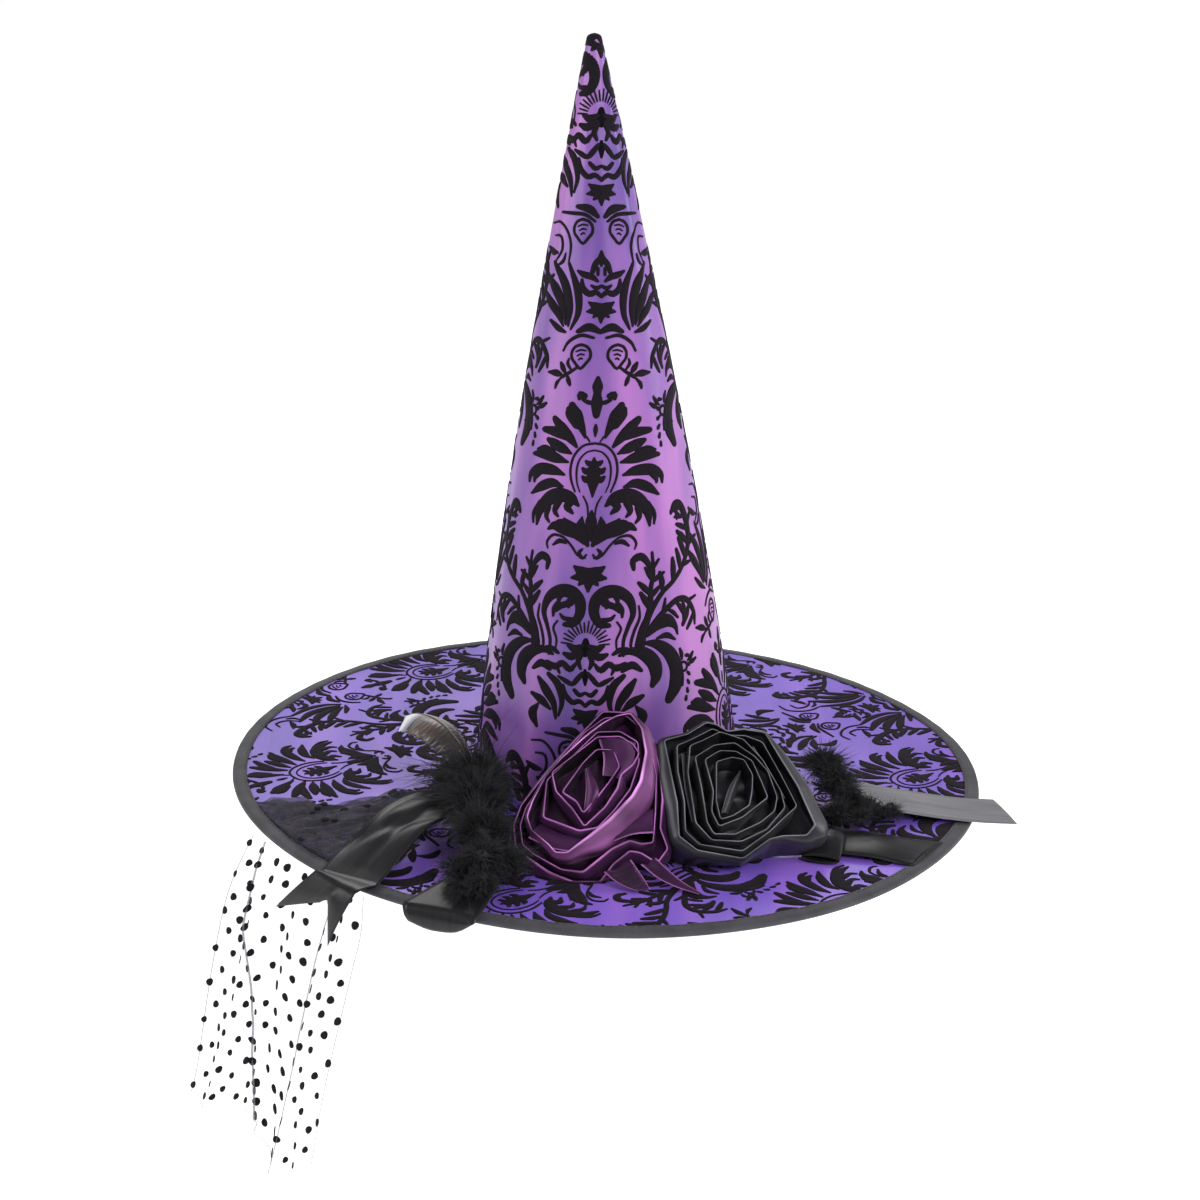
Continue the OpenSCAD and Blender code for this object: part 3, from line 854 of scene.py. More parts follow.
def make_crown_damask(material):
    """The flock pattern rolled onto the cone."""
    def inside(u, v):
        theta, s = crown_from_cloth(u, v)
        above = crown_point(theta, s, 0)[..., 2] > BRIM_TOP - 0.5
        return (np.abs(theta - CLOTH_TURN) < math.pi) & above & (s > 3) & (s < SLANT - 2)

    def place(u, v, lift):
        theta, s = crown_from_cloth(u, v)
        laid = crown_point(theta, s, lift)
        laid[..., 2] = np.maximum(laid[..., 2], CROWN_FOOT)
        return laid

    points, faces = flock_strips(place, inside, range(-3, 4), range(-2, 3))
    piece("crown_damask_flock", points * MM, faces, material, "damask_crown")


def make_brim_damask(material):
    """The flock pattern laid flat on the brim."""
    (middle_x, middle_y), (up_x, up_y) = BRIM_MEDALLION, BRIM_UP

    def flat(u, v):
        return middle_x + u * up_y + v * up_x, middle_y - u * up_x + v * up_y

    def inside(u, v):
        r = np.hypot(*flat(u, v))
        return (r > BRIM_HOLE + 2) & (r < BRIM_R - 7)

    def place(u, v, lift):
        return brim_point(*flat(u, v), lift)

    points, faces = flock_strips(place, inside, range(-5, 6), range(-3, 4))
    piece("brim_damask_flock", points * MM, faces, material, "damask_brim")


# ---- roses ----

def rounded(points, corner, step):
    """A closed outline with small rounded corners, as points about step apart."""
    p = np.array(points, float)
    out = []
    for i, at in enumerate(p):
        before, after = p[i - 1] - at, p[(i + 1) % len(p)] - at
        a = at + before * min(corner / np.linalg.norm(before[:2]), 0.45)
        b = at + after * min(corner / np.linalg.norm(after[:2]), 0.45)
        out += [a * (1 - t) ** 2 + 2 * at * t * (1 - t) + b * t * t for t in (0, 0.33, 0.67, 1)]
    dense = []
    for a, b in zip(out, out[1:] + out[:1]):
        pieces = max(1, int(np.linalg.norm(b[:2] - a[:2]) / step))
        dense += [a + (b - a) * t for t in np.linspace(0, 1, pieces, endpoint=False)]
    return np.array(dense)


class Rose:
    """A ribbon rose: its face's frame, and pieces made in face coordinates (across, up, out)."""

    def __init__(self, name, centre, turn, pad, material, slot):
        self.name, self.pad, self.material, self.slot = name, np.array(pad, float), material, slot
        lean, t = math.radians(40), math.radians(turn)    # the face leans back this far from level
        self.centre = np.array(centre, float)
        self.across = np.array([math.cos(t), math.sin(t), 0])
        self.up = np.array([-math.sin(t) * math.cos(lean), math.cos(t) * math.cos(lean), math.sin(lean)])
        self.out = np.array([math.sin(t) * math.sin(lean), -math.cos(t) * math.sin(lean), math.cos(lean)])

    def place(self, local, lift=0.7):
        """Face coordinates to the hat's. Ribbon that reaches the brim's satin lies on it, at lift."""
        local = np.asarray(local, float)
        points = (self.centre + local[..., 0:1] * self.across + local[..., 1:2] * self.up
                  + local[..., 2:3] * self.out)
        points[..., 2] = np.maximum(points[..., 2], BRIM_TOP + wave(points[..., 0], points[..., 1]) + lift)
        return points

    def wrap(self, number, rim, deep, crease, material):
        """One turn of folded ribbon. rim is (across, up, out, band): band is how wide its outer face is."""
        corner = step = 1.6
        line = rounded(rim, corner, step)
        xy, out, band = line[:, :2], line[:, 2], np.maximum(line[:, 3], 0.8)
        tangent = unit(np.roll(xy, -1, 0) - np.roll(xy, 1, 0))
        normal = np.stack([tangent[:, 1], -tangent[:, 0]], -1)
        if np.sum(xy[:, 0] * np.roll(xy[:, 1], -1) - xy[:, 1] * np.roll(xy[:, 0], -1)) < 0:
            normal = -normal
        along = running_length(xy)
        fold = crease * np.sin(along / 5.3 + number) + 0.5 * crease * np.sin(along / 2.9)
        profile = [(-1.6, 0.0, -deep), (-1.1, 0.0, -0.6 * deep), (-0.6, 0.0, -5), (-0.3, 0.0, -1.4),
                   (-0.1, 0.0, -0.3), (0.1, 0.0, 0.0), (0.35, 0.05, -0.2), (0.4, 0.35, -0.8),
                   (0.4, 0.7, -1.6), (0.2, 0.95, -3.5), (0.0, 1.0, -7.5), (0.0, 1.0, -deep)]
        rows = []
        for fixed, share_of_band, depth in profile:
            offset = fixed + share_of_band * band
            sink = depth - (0.3 * share_of_band * band)
            wobble = fold * min(1, -depth / 8)
            rows.append(np.column_stack([xy + normal * (offset + wobble)[:, None], out + sink]))
        local = np.stack(rows, 0)
        points = self.place(local, 0.7 + 0.2 * number).reshape(-1, 3)
        faces = grid_faces(len(profile), len(xy), True)
        crest = 5                         # the profile's highest point, where the cloth coordinate is 0
        # The cloth coordinate is 0 at the crest, where the folded satin paints its highlight; down the inner
        # wall it paints shade.
        lengths = running_length(local[:, 0])
        uv = np.stack([np.repeat(lengths - lengths[crest], len(xy)), np.tile(along, len(profile))], -1) * MM
        made = piece(f"{self.name}_wrap_{number}", points * MM, faces, material, self.slot, uv=uv)
        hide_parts(f"{self.name}_petals", f"{self.name}_core")

    def cup(self, outline):
        """The ribbon's turns as they close over the pad, deep between the visible folds. Its colour is the
        folded satin's painted shade.
        """
        line = rounded(outline, 3, 2.4)
        middle, columns, rows, depth = line[:, :2].mean(0), len(line), 9, 13
        shade_at = -4                     # the cloth coordinate of the folded satin's painted shade, as on the ribbon's inner wall
        local = []
        for t in np.linspace(0.04, 0.97, rows):
            xy = middle + (line[:, :2] - middle) * t
            around = np.arctan2(xy[:, 1] - middle[1], xy[:, 0] - middle[0])
            local.append(np.column_stack([xy, -depth + 1.5 * np.sin(5 * around + 9 * t) * t]))
        local = np.array(local)
        points = self.place(local).reshape(-1, 3)
        faces = [f[::-1] for f in grid_faces(rows, columns, True)] + [tuple(range(columns))]
        uv = np.column_stack([np.full(len(points), shade_at * MM), local.reshape(-1, 3)[:, 0] * MM])
        made = piece(f"{self.name}_cup", points * MM, faces, self.material, self.slot, uv=uv)
        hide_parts(f"{self.name}_petals", f"{self.name}_core")

    def side(self, outline, foot_r):
        """The outer turn of ribbon, from under the face down to the felt pad."""
        line = rounded(outline, 5, 2.0)
        columns, count, pleats = len(line), 12, 9
        top = self.place(line)
        angle = np.arctan2(top[:, 1] - self.pad[1], top[:, 0] - self.pad[0])
        outward = np.column_stack([np.cos(angle), np.sin(angle), 0 * angle])
        foot = self.pad + foot_r * outward
        rows = []
        for t in np.linspace(0, 1, count):
            swell = math.sin(math.pi * t) * 3.0
            pleat = 0.9 * math.sin(math.pi * min(1, 1.4 * t)) * np.sin(pleats * angle + 3 * t)
            rows.append(top * (1 - t) + foot * t + outward * (swell + pleat)[:, None])
        rows = np.array(rows)
        faces = [f[::-1] for f in grid_faces(count, columns, True)]
        heights = np.repeat(np.linspace(1.5, 40, count), columns)
        around = np.tile(np.arange(columns) * 2.0, count)
        made = piece(f"{self.name}_side", rows.reshape(-1, 3) * MM, faces, self.material, self.slot,
                     uv=np.stack([heights, around], -1) * MM)

    def fold(self, number, *edges):
        """A loose fold inside the rose, given as two edges of (across, up, out)."""
        count, across = 20, 8
        a, b = (evenly(through(edge, 1.5), count) for edge in edges)
        local = np.array([a * (1 - t) + b * t + 1.6 * math.sin(math.pi * t) * UP
                          for t in np.linspace(0, 1, across)])
        points = self.place(local).reshape(-1, 3)
        # Cloth coordinates start just past the crease, so the folded satin paints its crease highlight along
        # this edge, then a band of painted shade.
        from_crease = np.repeat(np.linspace(0.3, 8, across), count)
        uv = np.stack([from_crease, np.tile(np.arange(count) * 2.0, across)], -1) * MM
        made = piece(f"{self.name}_fold_{number}", points * MM, grid_faces(across, count), self.material,
                     self.slot, uv=uv)

    def make(self, rims, materials, creases, deep, crease, foot_r):
        """The whole rose: its turns of ribbon from the outside in, loose folds, the cup and the side."""
        for number, (rim, material) in enumerate(zip(rims, materials), 1):
            self.wrap(number, rim, deep - 1.5 * number, crease, material)
        for number, edges in enumerate(creases, 1):
            self.fold(number, *edges)
        self.cup([(a, b, out) for a, b, out, band in rims[1]])
        self.side([(a, b, out - 4) for a, b, out, band in rims[0]], foot_r)


def make_purple_rose(material, lit):
    """The plum rose. Its broad smooth turn is of a lighter copy of the satin, painted as if lit."""
    rose = Rose("purple_rose", (-8, -146, 44), 0, (-8, -130, 5.2), material, "plum_satin")
    outer = [(5, 57, 0, 2), (-10, 39, -1, 2), (-28, 15, -2, 2), (-43, -8, -3, 2), (-47, -22, -3, 2),
             (-45, -36, -4, 3), (-38, -42, -4, 5), (-24, -51, -5, 7), (-8, -57, -6, 8), (6, -56, -7, 6),
             (14, -44, -6, 4), (24, -35, -5, 5), (31, -36, -5, 4), (41, -42, -6, 3), (47, -33, -5, 3),
             (42, -20, -4, 4), (43, 0, -3, 7), (41, 19, -2, 6), (37, 36, -2, 3), (31, 48, -2, 2),
             (19, 57, 0, 2)]
    second = [(6, 52, 1, 1.2), (-6, 42, 0, 1.2), (-25, 16, -1, 1.2), (-40, -10, -2, 1.2),
              (-43, -22, -2, 1.2), (-41, -35, -2, 1.2), (-34, -41, -2, 1.2), (-17, -50, -3, 1.2),
              (-4, -51, -3, 5), (13, -35, -3, 4), (24, -29, -3, 4), (31, -31, -3, 4), (38, -30, -3, 1.2),
              (39, -10, -2, 1.2), (39, 15, -1, 1.2), (33, 42, 0, 1.2), (20, 54, 1, 1.2)]
    smooth = [(22, 55, 3, 3), (29, 45, 3, 6), (32, 29, 2, 9), (29, 9, 2, 12), (24, -1, 1, 12),
              (11, -17, 1, 13), (-1, -28, 0, 10), (-14, -40, 0, 4), (-21, -40, 0, 3), (-25, -35, 0, 3),
              (-36, -26, 0, 2), (-39, -17, 0, 2), (-36, -6, 0, 2), (-29, 10, 1, 2), (-20, 22, 2, 2),
              (-6, 37, 3, 2), (6, 48, 3, 2), (14, 53, 3, 2)]
    third = [(-28, 8, 0, 1.5), (-29, -16, -2, 3), (-7, -24, -2, 4), (4, -22, -1, 3), (13, -11, -1, 3),
             (23, 4, 0, 2), (28, 22, 1, 2), (27, 36, 1, 2), (16, 43, 1, 2), (2, 42, 1, 2)]
    inner = [(-25, 13, 1, 2), (2, 38, 2, 2), (16, 39, 2, 2), (24, 34, 2, 2), (28, 28, 2, 2), (24, 20, 2, 4),
             (17, 13, 2, 4), (15, 4, 1, 5), (8, -9, 1, 3), (-4, -22, 0, 2), (-11, -11, 0, 3),
             (-22, 1, 0, 2)]
    heart = [(-6, 22, -2, 2), (-18, 2, -3, 5), (-9, -3, -5, 4), (-5, -10, -6, 3), (3, 0, -4, 4),
             (10, 10, -3, 2), (16, 20, -1, 2), (12, 31, -1, 2), (2, 31, -1, 2)]
    folds = [([(-5, 18, -3), (-4, 6, -5), (-5, -12, -9)], [(-2, 19, -4), (4, 4, -3), (1, -8, -8)]),
             ([(2, 40, 0), (6, 28, -4), (6, 16, -7)], [(26, 36, 1), (25, 25, -2), (19, 12, -5)]),
             ([(-38, -30, -3), (-22, -37, -3), (-4, -38, -4)], [(-31, -18, -8), (-17, -25, -7),
                                                                (-4, -27, -8)]),
             ([(14, -30, -4), (26, -25, -4), (38, -24, -3)], [(20, -16, -9), (30, -10, -7), (38, -6, -6)])]
    rims = (outer, second, smooth, third, inner, heart)
    rose.make(rims, [lit if rim is smooth else material for rim in rims], folds, 24, 0.5, 24)


def make_black_rose(material):
    rose = Rose("black_rose", (84, -138, 48), 12, (80, -114, 5.2), material, "black_satin")
    outer = [(-43, 36, -2, 4), (-28, 39, -1, 3), (-15, 46, 0, 3), (-9, 44, 0, 2), (-3, 39, 0, 2),
             (8, 40, 0, 2), (21, 37, 0, 3), (27, 22, -1, 8), (36, 0, -2, 10), (43, -26, -4, 11),
             (37, -32, -5, 6), (22, -32, -4, 3), (13, -34, -3, 2), (-6, -46, -3, 2), (-33, -39, -3, 3),
             (-43, -29, -3, 4), (-41, -7, -2, 7), (-42, 14, -2, 7)]
    second = [(-36, 31, 0, 1), (-28, 34, 0, 1), (-12, 41, 1, 1), (-4, 36, 1, 1), (8, 35, 1, 1),
              (18, 30, 1, 1), (26, 8, 0, 1), (33, -14, -1, 1), (24, -21, -1, 1), (13, -30, -1, 1),
              (-6, -42, -1, 1), (-32, -36, -1, 1), (-39, -27, -1, 1), (-37, -7, 0, 1), (-38, 14, 0, 1)]
    third = [(-28, 30, 1, 1), (-20, 33, 1, 1), (-8, 38, 2, 1), (6, 32, 2, 1), (16, 18, 1, 1),
             (24, -4, 1, 1), (25, -15, 0, 1), (11, -29, 0, 1), (-6, -36, 0, 1), (-24, -34, 0, 1),
             (-32, -22, 0, 1), (-32, 12, 1, 1)]
    fourth = [(-26, 22, 1, 1), (-13, 29, 2, 1), (0, 30, 2, 1), (11, 20, 2, 1), (18, 10, 1, 1),
              (21, -8, 1, 1), (18, -17, 0, 1), (8, -24, 0, 1), (-9, -31, 0, 1), (-22, -30, 0, 1),
              (-25, -22, 0, 1), (-25, 0, 1, 1)]
    fifth = [(-20, 20, 1, 1), (-10, 25, 2, 1), (0, 24, 2, 1), (9, 17, 2, 1), (13, 2, 1, 1), (15, -8, 1, 1),
             (-3, -20, 0, 1), (-18, -25, 0, 1), (-21, -15, 0, 1), (-18, -2, 1, 1)]
    heart = [(-13, 18, 1, 1), (-3, 20, 2, 1), (4, 18, 2, 1), (8, 8, 1, 1), (6, -2, 1, 1), (3, -12, 0, 1),
             (-8, -18, -1, 1), (-16, -20, -1, 1), (-17, -8, 0, 1)]
    folds = [([(1, 12, -1), (-8, 0, -1), (-15, -16, -2)], [(2, 11, -4), (-3, -2, -5), (-10, -15, -6)]),
             ([(-34, 26, -1), (-35, 4, -3), (-34, -20, -3)], [(-30, 24, -6), (-31, 4, -8), (-30, -20, -8)]),
             ([(12, 28, 0), (20, 12, -2), (27, -8, -2)], [(8, 24, -6), (15, 8, -8), (21, -8, -8)])]
    rose.make((outer, second, third, fourth, fifth, heart), [material] * 6, folds, 26, 0.35, 25)


# ---- marabou and feather ----

def strands(roots, directions, lengths, seed):
    """Fine three-sided down barbs that bend as they go out."""
    droop, radius, segments, curl = 0.3, 0.26, 5, 0.22
    draw = np.random.default_rng(seed)
    count = len(roots)
    directions = directions / np.linalg.norm(directions, axis=1, keepdims=True)
    bend = draw.normal(0, curl, (count, 3)) - droop * UP
    side = unit(np.cross(directions, draw.normal(0, 1, (count, 3))))
    other = np.cross(directions, side)
    points = np.zeros((count, segments, 3, 3))
    for i, k in enumerate(np.linspace(0, 1, segments)):
        middle = roots + (directions * k + bend * k * k) * lengths[:, None]
        size = radius * (1 - 0.75 * k)
        for j in range(3):
            a = TURN * j / 3
            points[:, i, j] = middle + size * (side * math.cos(a) + other * math.sin(a))
    end = (segments - 1) * 3
    barb = grid_faces(segments, 3, True) + [(2, 1, 0), (end, end + 1, end + 2)]
    faces = [face for n in range(count) for face in shifted(barb, n * segments * 3)]
    return points.reshape(-1, 3), faces


MOST_BARBS = 7000                         # in one piece of down


def fluff(name, centres, material, slot, count, seed):
    """Marabou down: barbs in soft clumps that burst out of tufts given as (x, y, z, radius)."""
    clumps = 170
    draw = np.random.default_rng(seed)
    centres = np.array(centres, float)
    weight = centres[:, 3] ** 1.6
    home = draw.choice(len(centres), clumps, p=weight / weight.sum())
    heading = draw.normal(0, 1, (clumps, 3)) * (1, 1, 0.75)       # a little flatter than a ball
    heading /= np.linalg.norm(heading, axis=1, keepdims=True)
    heading[:, 2] = np.where(heading[:, 2] < -0.15, -heading[:, 2], heading[:, 2])
    reach = draw.uniform(0.45, 0.95, clumps) * (0.75 + 0.5 * (draw.random(clumps) < 0.25))
    bend = draw.normal(0, 0.35, (clumps, 3))
    pick = draw.integers(0, clumps, count)
    size = centres[home[pick], 3]
    outward = heading[pick] + draw.normal(0, 0.24, (count, 3))
    outward /= np.linalg.norm(outward, axis=1, keepdims=True)
    roots = centres[home[pick], :3] + outward * (size * draw.uniform(0.2, 0.62, count))[:, None]
    lengths = size * reach[pick] * draw.uniform(0.6, 1.1, count)
    points, faces = strands(roots, outward + 0.6 * bend[pick], lengths, seed + 1)
    points[:, 2] = np.maximum(points[:, 2], BRIM_TOP + 0.4 + 0.3 * draw.random(len(points)))
    made = []
    points_each, faces_each = len(points) // count, len(faces) // count
    for part, first in enumerate(range(0, count, MOST_BARBS), 1):
        last, start = min(first + MOST_BARBS, count), first * points_each
        part_points = points[start:last * points_each] * MM
        part_faces = shifted(faces[first * faces_each:last * faces_each], -start)
        made.append(piece(f"{name}_{part}", part_points, part_faces, material, slot))
    return made


def core(name, centres, material, slot, seed):
    """The dense middle of a tuft: lumpy closed forms under the barbs."""
    draw = np.random.default_rng(seed)
    points, faces = [], []
    rows, columns, share_of_tuft = 14, 22, 0.42
    for x, y, z, r in centres:
        faces += shifted(grid_faces(rows, columns, True), len(points))
        phase = draw.uniform(0, 6, 4)
        for i in range(rows):
            a = math.pi * i / (rows - 1)
            for j in range(columns):
                b = TURN * j / columns
                lump = (1 + 0.13 * math.sin(3 * b + phase[0]) * math.sin(4 * a + phase[1])
                        + 0.1 * math.sin(7 * b + phase[2]) * math.sin(5 * a + phase[3]))
                q = share_of_tuft * r * lump
                points.append((x + q * math.sin(a) * math.cos(b), y + q * math.sin(a) * math.sin(b),
                               max(z + q * math.cos(a), BRIM_TOP + 0.4)))
    piece(name, np.array(points) * MM, faces, material, slot)


# Tufts of down, as (x, y, z, radius).
LEFT_TUFTS = [(-82, -110, 31, 29), (-78, -140, 28, 26), (-74, -170, 24, 23), (-72, -197, 19, 18),
              (-71, -214, 15, 13), (-87, -203, 14, 15), (-60, -194, 15, 16), (-80, -217, 11, 13)]
RIGHT_TUFTS = [(143, -50, 25, 17), (150, -66, 21, 17), (157, -82, 16, 14), (170, -84, 12, 10),
               (146, -99, 13, 12), (163, -98, 11, 11), (181, -86, 12, 10)]


def make_marabou(material):
    """The down on each side: its barbs, and a dense middle under them."""
    sides = (("marabou_left", LEFT_TUFTS, 12000, 11), ("marabou_right", RIGHT_TUFTS, 6000, 23))
    for name, tufts, count, seed in sides:
        for down in fluff(f"{name}_down", tufts, material, "marabou", count, seed):
            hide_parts(name)
        core(f"{name}_middle", tufts, material, "marabou", seed + 5)


def thicken(made, thickness):
    """Gives a piece's cloth a thickness, in millimetres."""
    solid = made.modifiers.new("thickness", "SOLIDIFY")
    solid.thickness = thickness * MM
    return solid


def make_feather(material, quill_material):
    """A curved glossy feather: two vanes of barbs that rise out of the down and curl over at the tip."""
    spine = through([(-84, -88, 32), (-95, -76, 46), (-109, -60, 53), (-123, -40, 50), (-134, -22, 41)], 1.5)
    count, length, width = len(spine), 84, 30
    rows, columns = 60, 12

    def frame_at(t):
        """Place, ahead, aside and up at a share of the way along the spine."""
        k = t * (count - 1)
        i = min(int(k), count - 2)
        p = spine[i] + (spine[i + 1] - spine[i]) * (k - i)
        ahead = spine[min(i + 3, count - 1)] - spine[max(i - 3, 0)]
        ahead = ahead / np.linalg.norm(ahead)
        aside = np.cross(UP, ahead)
        aside /= np.linalg.norm(aside)
        return p, ahead, aside, np.cross(ahead, aside)

    for side, name in ((1, "left"), (-1, "right")):
        points, uv = [], []
        for i in range(rows):
            t = i / (rows - 1)
            blunt_tip = min(1, (1.02 - t) * 7) ** 0.5
            reach = width / 2 * (0.35 + 0.65 * math.sin(math.pi * min(1, 0.1 + 0.8 * t))) * blunt_tip
            for j in range(columns):
                k = j / (columns - 1)
                p, ahead, aside, up = frame_at(min(1, t + 0.08 * k * (1 - t)))
                fray = 1 + 0.07 * math.sin(i * 2.1 + side) * k + 0.05 * math.sin(i * 0.8) * k
                droop = up * (9.5 * k * k)
                points.append(p + aside * side * reach * k * fray - droop + ahead * 3 * k * (1 - t))
                uv.append((k * width / 2, t * length))
        faces = grid_faces(rows, columns)
        if side > 0:
            faces = [f[::-1] for f in faces]
        made = piece(f"feather_vane_{name}", np.array(points) * MM, faces, material, "feather",
                     uv=np.array(uv) * MM)
        thicken(made, 0.4)
        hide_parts("feather_vane")
    points, sides, rings, root_r = [], 8, 30, 0.8
    for i in range(rings):
        t = 0.98 * i / (rings - 1)
        p, ahead, aside, up = frame_at(t)
        r = root_r * (1 - 0.8 * t)
        for j in range(sides):
            a = TURN * j / sides
            points.append(p + r * (aside * math.cos(a) + up * (math.sin(a) + 0.5)))
    faces = grid_faces(rings, sides, True)
    faces += [tuple(range(sides))[::-1], tuple(range((rings - 1) * sides, rings * sides))]
    quill = piece("feather_quill_curved", np.array(points) * MM, faces, quill_material, "quill")
    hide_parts("feather_quill")


# ---- ribbons ----

def strip(name, rows, material, slot, replaces, blend=None, lit_edges=False):
    """A ribbon from rows of points across it. lit_edges puts a folded satin's painted crease highlight on
    both its edges.
    """
    rows = np.array(rows, float)
    count, across = rows.shape[:2]
    along = running_length(rows.mean(1))
    widths = np.concatenate([[0], np.cumsum(np.linalg.norm(np.diff(rows, axis=1), axis=2).mean(0))])
    # With lit_edges the cloth coordinate is the distance from the nearer edge, where the folded satin paints
    # its highlight.
    seen = np.clip(np.minimum(widths, widths[-1] - widths), 0, 1.7) if lit_edges else widths
    uv = np.stack([np.tile(seen, count), np.repeat(along, across)], -1) * MM
    made = piece(name, rows.reshape(-1, 3) * MM, grid_faces(count, across), material, slot, body=None, uv=uv)
    thicken(made, 0.35).offset = 0
    apply_modifiers(made)
    if blend:
        other, start, end = blend
        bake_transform(made)
        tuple(start)
        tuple(end)
    else:
        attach(made, "hat")
    for node_name in replaces:
        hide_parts(node_name)


def apply_modifiers(made):
    """Makes a piece's modifiers part of its mesh."""
    graph = bpy.context.evaluated_depsgraph_get()
    fresh = bpy.data.meshes.new_from_object(made.evaluated_get(graph), preserve_all_data_layers=True,
                                            depsgraph=graph)
    made.modifiers.clear()
    made.data = fresh


def on_brim(x, y, above=0.0):
    """Height of the brim's satin at a place, in millimetres, plus a little."""
    return BRIM_TOP + float(wave(np.array(x), np.array(y))) + above


EDGE_GAP = 2
VEIL_AZ, FRONT_AZ = math.radians(-136.3), math.radians(-110.5)


def edge_frame(azimuth, out):
    """Place, outward and sideways directions where something hangs over the brim's edge."""
    outward = np.array([math.cos(azimuth), math.sin(azimuth), 0])
    aside = np.array([-outward[1], outward[0], 0])
    return outward * (BRIM_R + out) + BRIM_TOP * UP, outward, aside


def rounded_picks(line, count):
    """That many of a line's points, each the nearest to an even spread."""
    return line[[int(round(k)) for k in np.linspace(0, len(line) - 1, count)]]


def to_end(rows, top, end, steps, bulge):
    """Adds rows to a ribbon, from a row called top down to its end, that bulge outward on the way."""
    for t in steps:
        rows.append([a * (1 - t) + b * t + bulge * math.sin(math.pi * t) for a, b in zip(top, end)])


def make_left_ribbon(material):
    """The wide ribbon from under the marabou, over the brim's edge, to its swallowtail end."""
    middle, outward, aside = edge_frame(VEIL_AZ, EDGE_GAP)
    edge_mid = (middle + aside * 39 - outward * 5)[:2]
    route = through([(-86, -104, 16), (-101, -121, 25), (-121, -147, 25), (-140, -175, 14),
                     (edge_mid[0], edge_mid[1], 6.4)], 3)
    width, across = 40, 21
    rows = []
    for i, p in enumerate(route):
        t = i / (len(route) - 1)
        ahead = route[min(i + 1, len(route) - 1)] - route[max(i - 1, 0)]
        side = np.array([ahead[1], -ahead[0], 0])
        side /= np.linalg.norm(side)
        row = []
        for k in np.linspace(-0.5, 0.5, across):
            cup = 8 * (0.25 - k * k) * math.sin(math.pi * min(1, t * 1.1))
            pleats = (2.6 * (1 - t) ** 1.3 * math.sin(12 * k + 2.5 * t + 2)
                      + 0.5 * (1 - t) * math.sin(27 * k + 4 * t))
            crease = 2.2 * math.exp(-((t + 0.35 * k - 0.55) / 0.07) ** 2)
            q = p - side * width * k + (cup + pleats - crease) * UP
            q[2] = max(q[2], on_brim(q[0], q[1], 1.2))
            row.append(q)
        rows.append(row)
    out_clear = 10.4                  # the ribbon hangs in front of the veil by this
    slant_out = math.tan(math.radians(11))

    def hang(s, z):
        return middle + aside * s + outward * (out_clear + slant_out * -z) + z * UP

    end_shape = [(-8, -27), (8, -20), (22, -14), (33, -9.5), (39, -6), (42, -16), (46, -32)]
    ends = [hang(s, z) for s, z in rounded_picks(through(end_shape, 0.8), across)]
    top_row = [hang(19 + width * k, 1.5) + 2.6 * UP - outward * 4 for k in np.linspace(0, 1, across)]
    to_end(rows, rows[-1], top_row, np.linspace(0.35, 1, 3), 1.2 * UP)
    to_end(rows, top_row, ends, np.linspace(0.12, 1, 9), outward * 1.4)
    start, end = (middle - outward * 5 + 3 * UP) * MM, (middle + outward * 8 - 6 * UP) * MM
    strip("ribbon_left_swallowtail", rows, material, "black_satin",
          replaces=("left_ribbon", "left_ribbon_tail"), blend=("left_tail", start, end))


def make_front_ribbon(material):
    """A ribbon that lies from the tufts to the edge and turns down over it."""
    middle, outward, aside = edge_frame(FRONT_AZ, EDGE_GAP + 1.5)
    across = 15
    rows = []
    start = np.array([-74.0, -196.0, 9.0])
    for t in np.linspace(0, 1, 9):
        row = []
        for k in np.linspace(-1, 1, across):
            q = start * (1 - t) + (middle - outward * 3 + 2.2 * UP) * t
            q = q + aside * (k * (15 + 9 * t) - 6 * t) + 1.6 * (1 - k * k) * (1 - 0.4 * t) * UP
            q[2] = max(q[2], on_brim(q[0], q[1], 1.3))
            row.append(q)
        rows.append(row)
    end_shape = [(-26, -8), (-16, -10.5), (-8, -11), (5, -9), (16, -1.5)]
    ends = [middle + aside * s + outward * 1.2 + z * UP
            for s, z in rounded_picks(through(end_shape, 0.8), across)]
    over = [middle + aside * (k * 24 - 6) + outward * 0.6 + 0.6 * UP for k in np.linspace(-1, 1, across)]
    to_end(rows, rows[-1], over, (0.5, 1), 0.8 * UP)
    to_end(rows, over, ends, np.linspace(0.15, 1, 7), outward * 1.5)
    start, end = (middle - outward * 4 + 2 * UP) * MM, (middle + outward * 2 - 5 * UP) * MM
    strip("ribbon_front", rows, material, "black_satin", replaces=("front_ribbon_tail",),
          blend=("front_tail", start, end))


def headings(degrees):
    """Ahead and aside, on the level, for something that points this way round from the hat's right."""
    a = math.radians(degrees)
    return np.array([math.cos(a), math.sin(a), 0]), np.array([-math.sin(a), math.cos(a), 0])


def tail_rows(root, azimuth, heights, cut, cut_from, waves):
    """A ribbon's loose end: heights are (distance from the root, z), and its cut end slants by cut."""
    half, across = 19, 11
    ahead, aside = headings(azimuth)
    line = through(heights, 3.5)
    rows = []
    for dist, z in line:
        slanting = max(0.0, (dist - cut_from) / (line[-1][0] - cut_from))
        row = []
        for k in np.linspace(-1, 1, across):
            q = np.array([*root, 0.0]) + ahead * (dist + cut * k * slanting) + aside * half * k
            q[2] = z + waves * math.sin(dist / 11) * 0.5 + 1.2 * (1 - k * k) * waves
            if math.hypot(q[0], q[1]) < BRIM_R:
                q[2] = max(q[2], on_brim(q[0], q[1], 1.4))
            row.append(q)
        rows.append(row)
    return rows


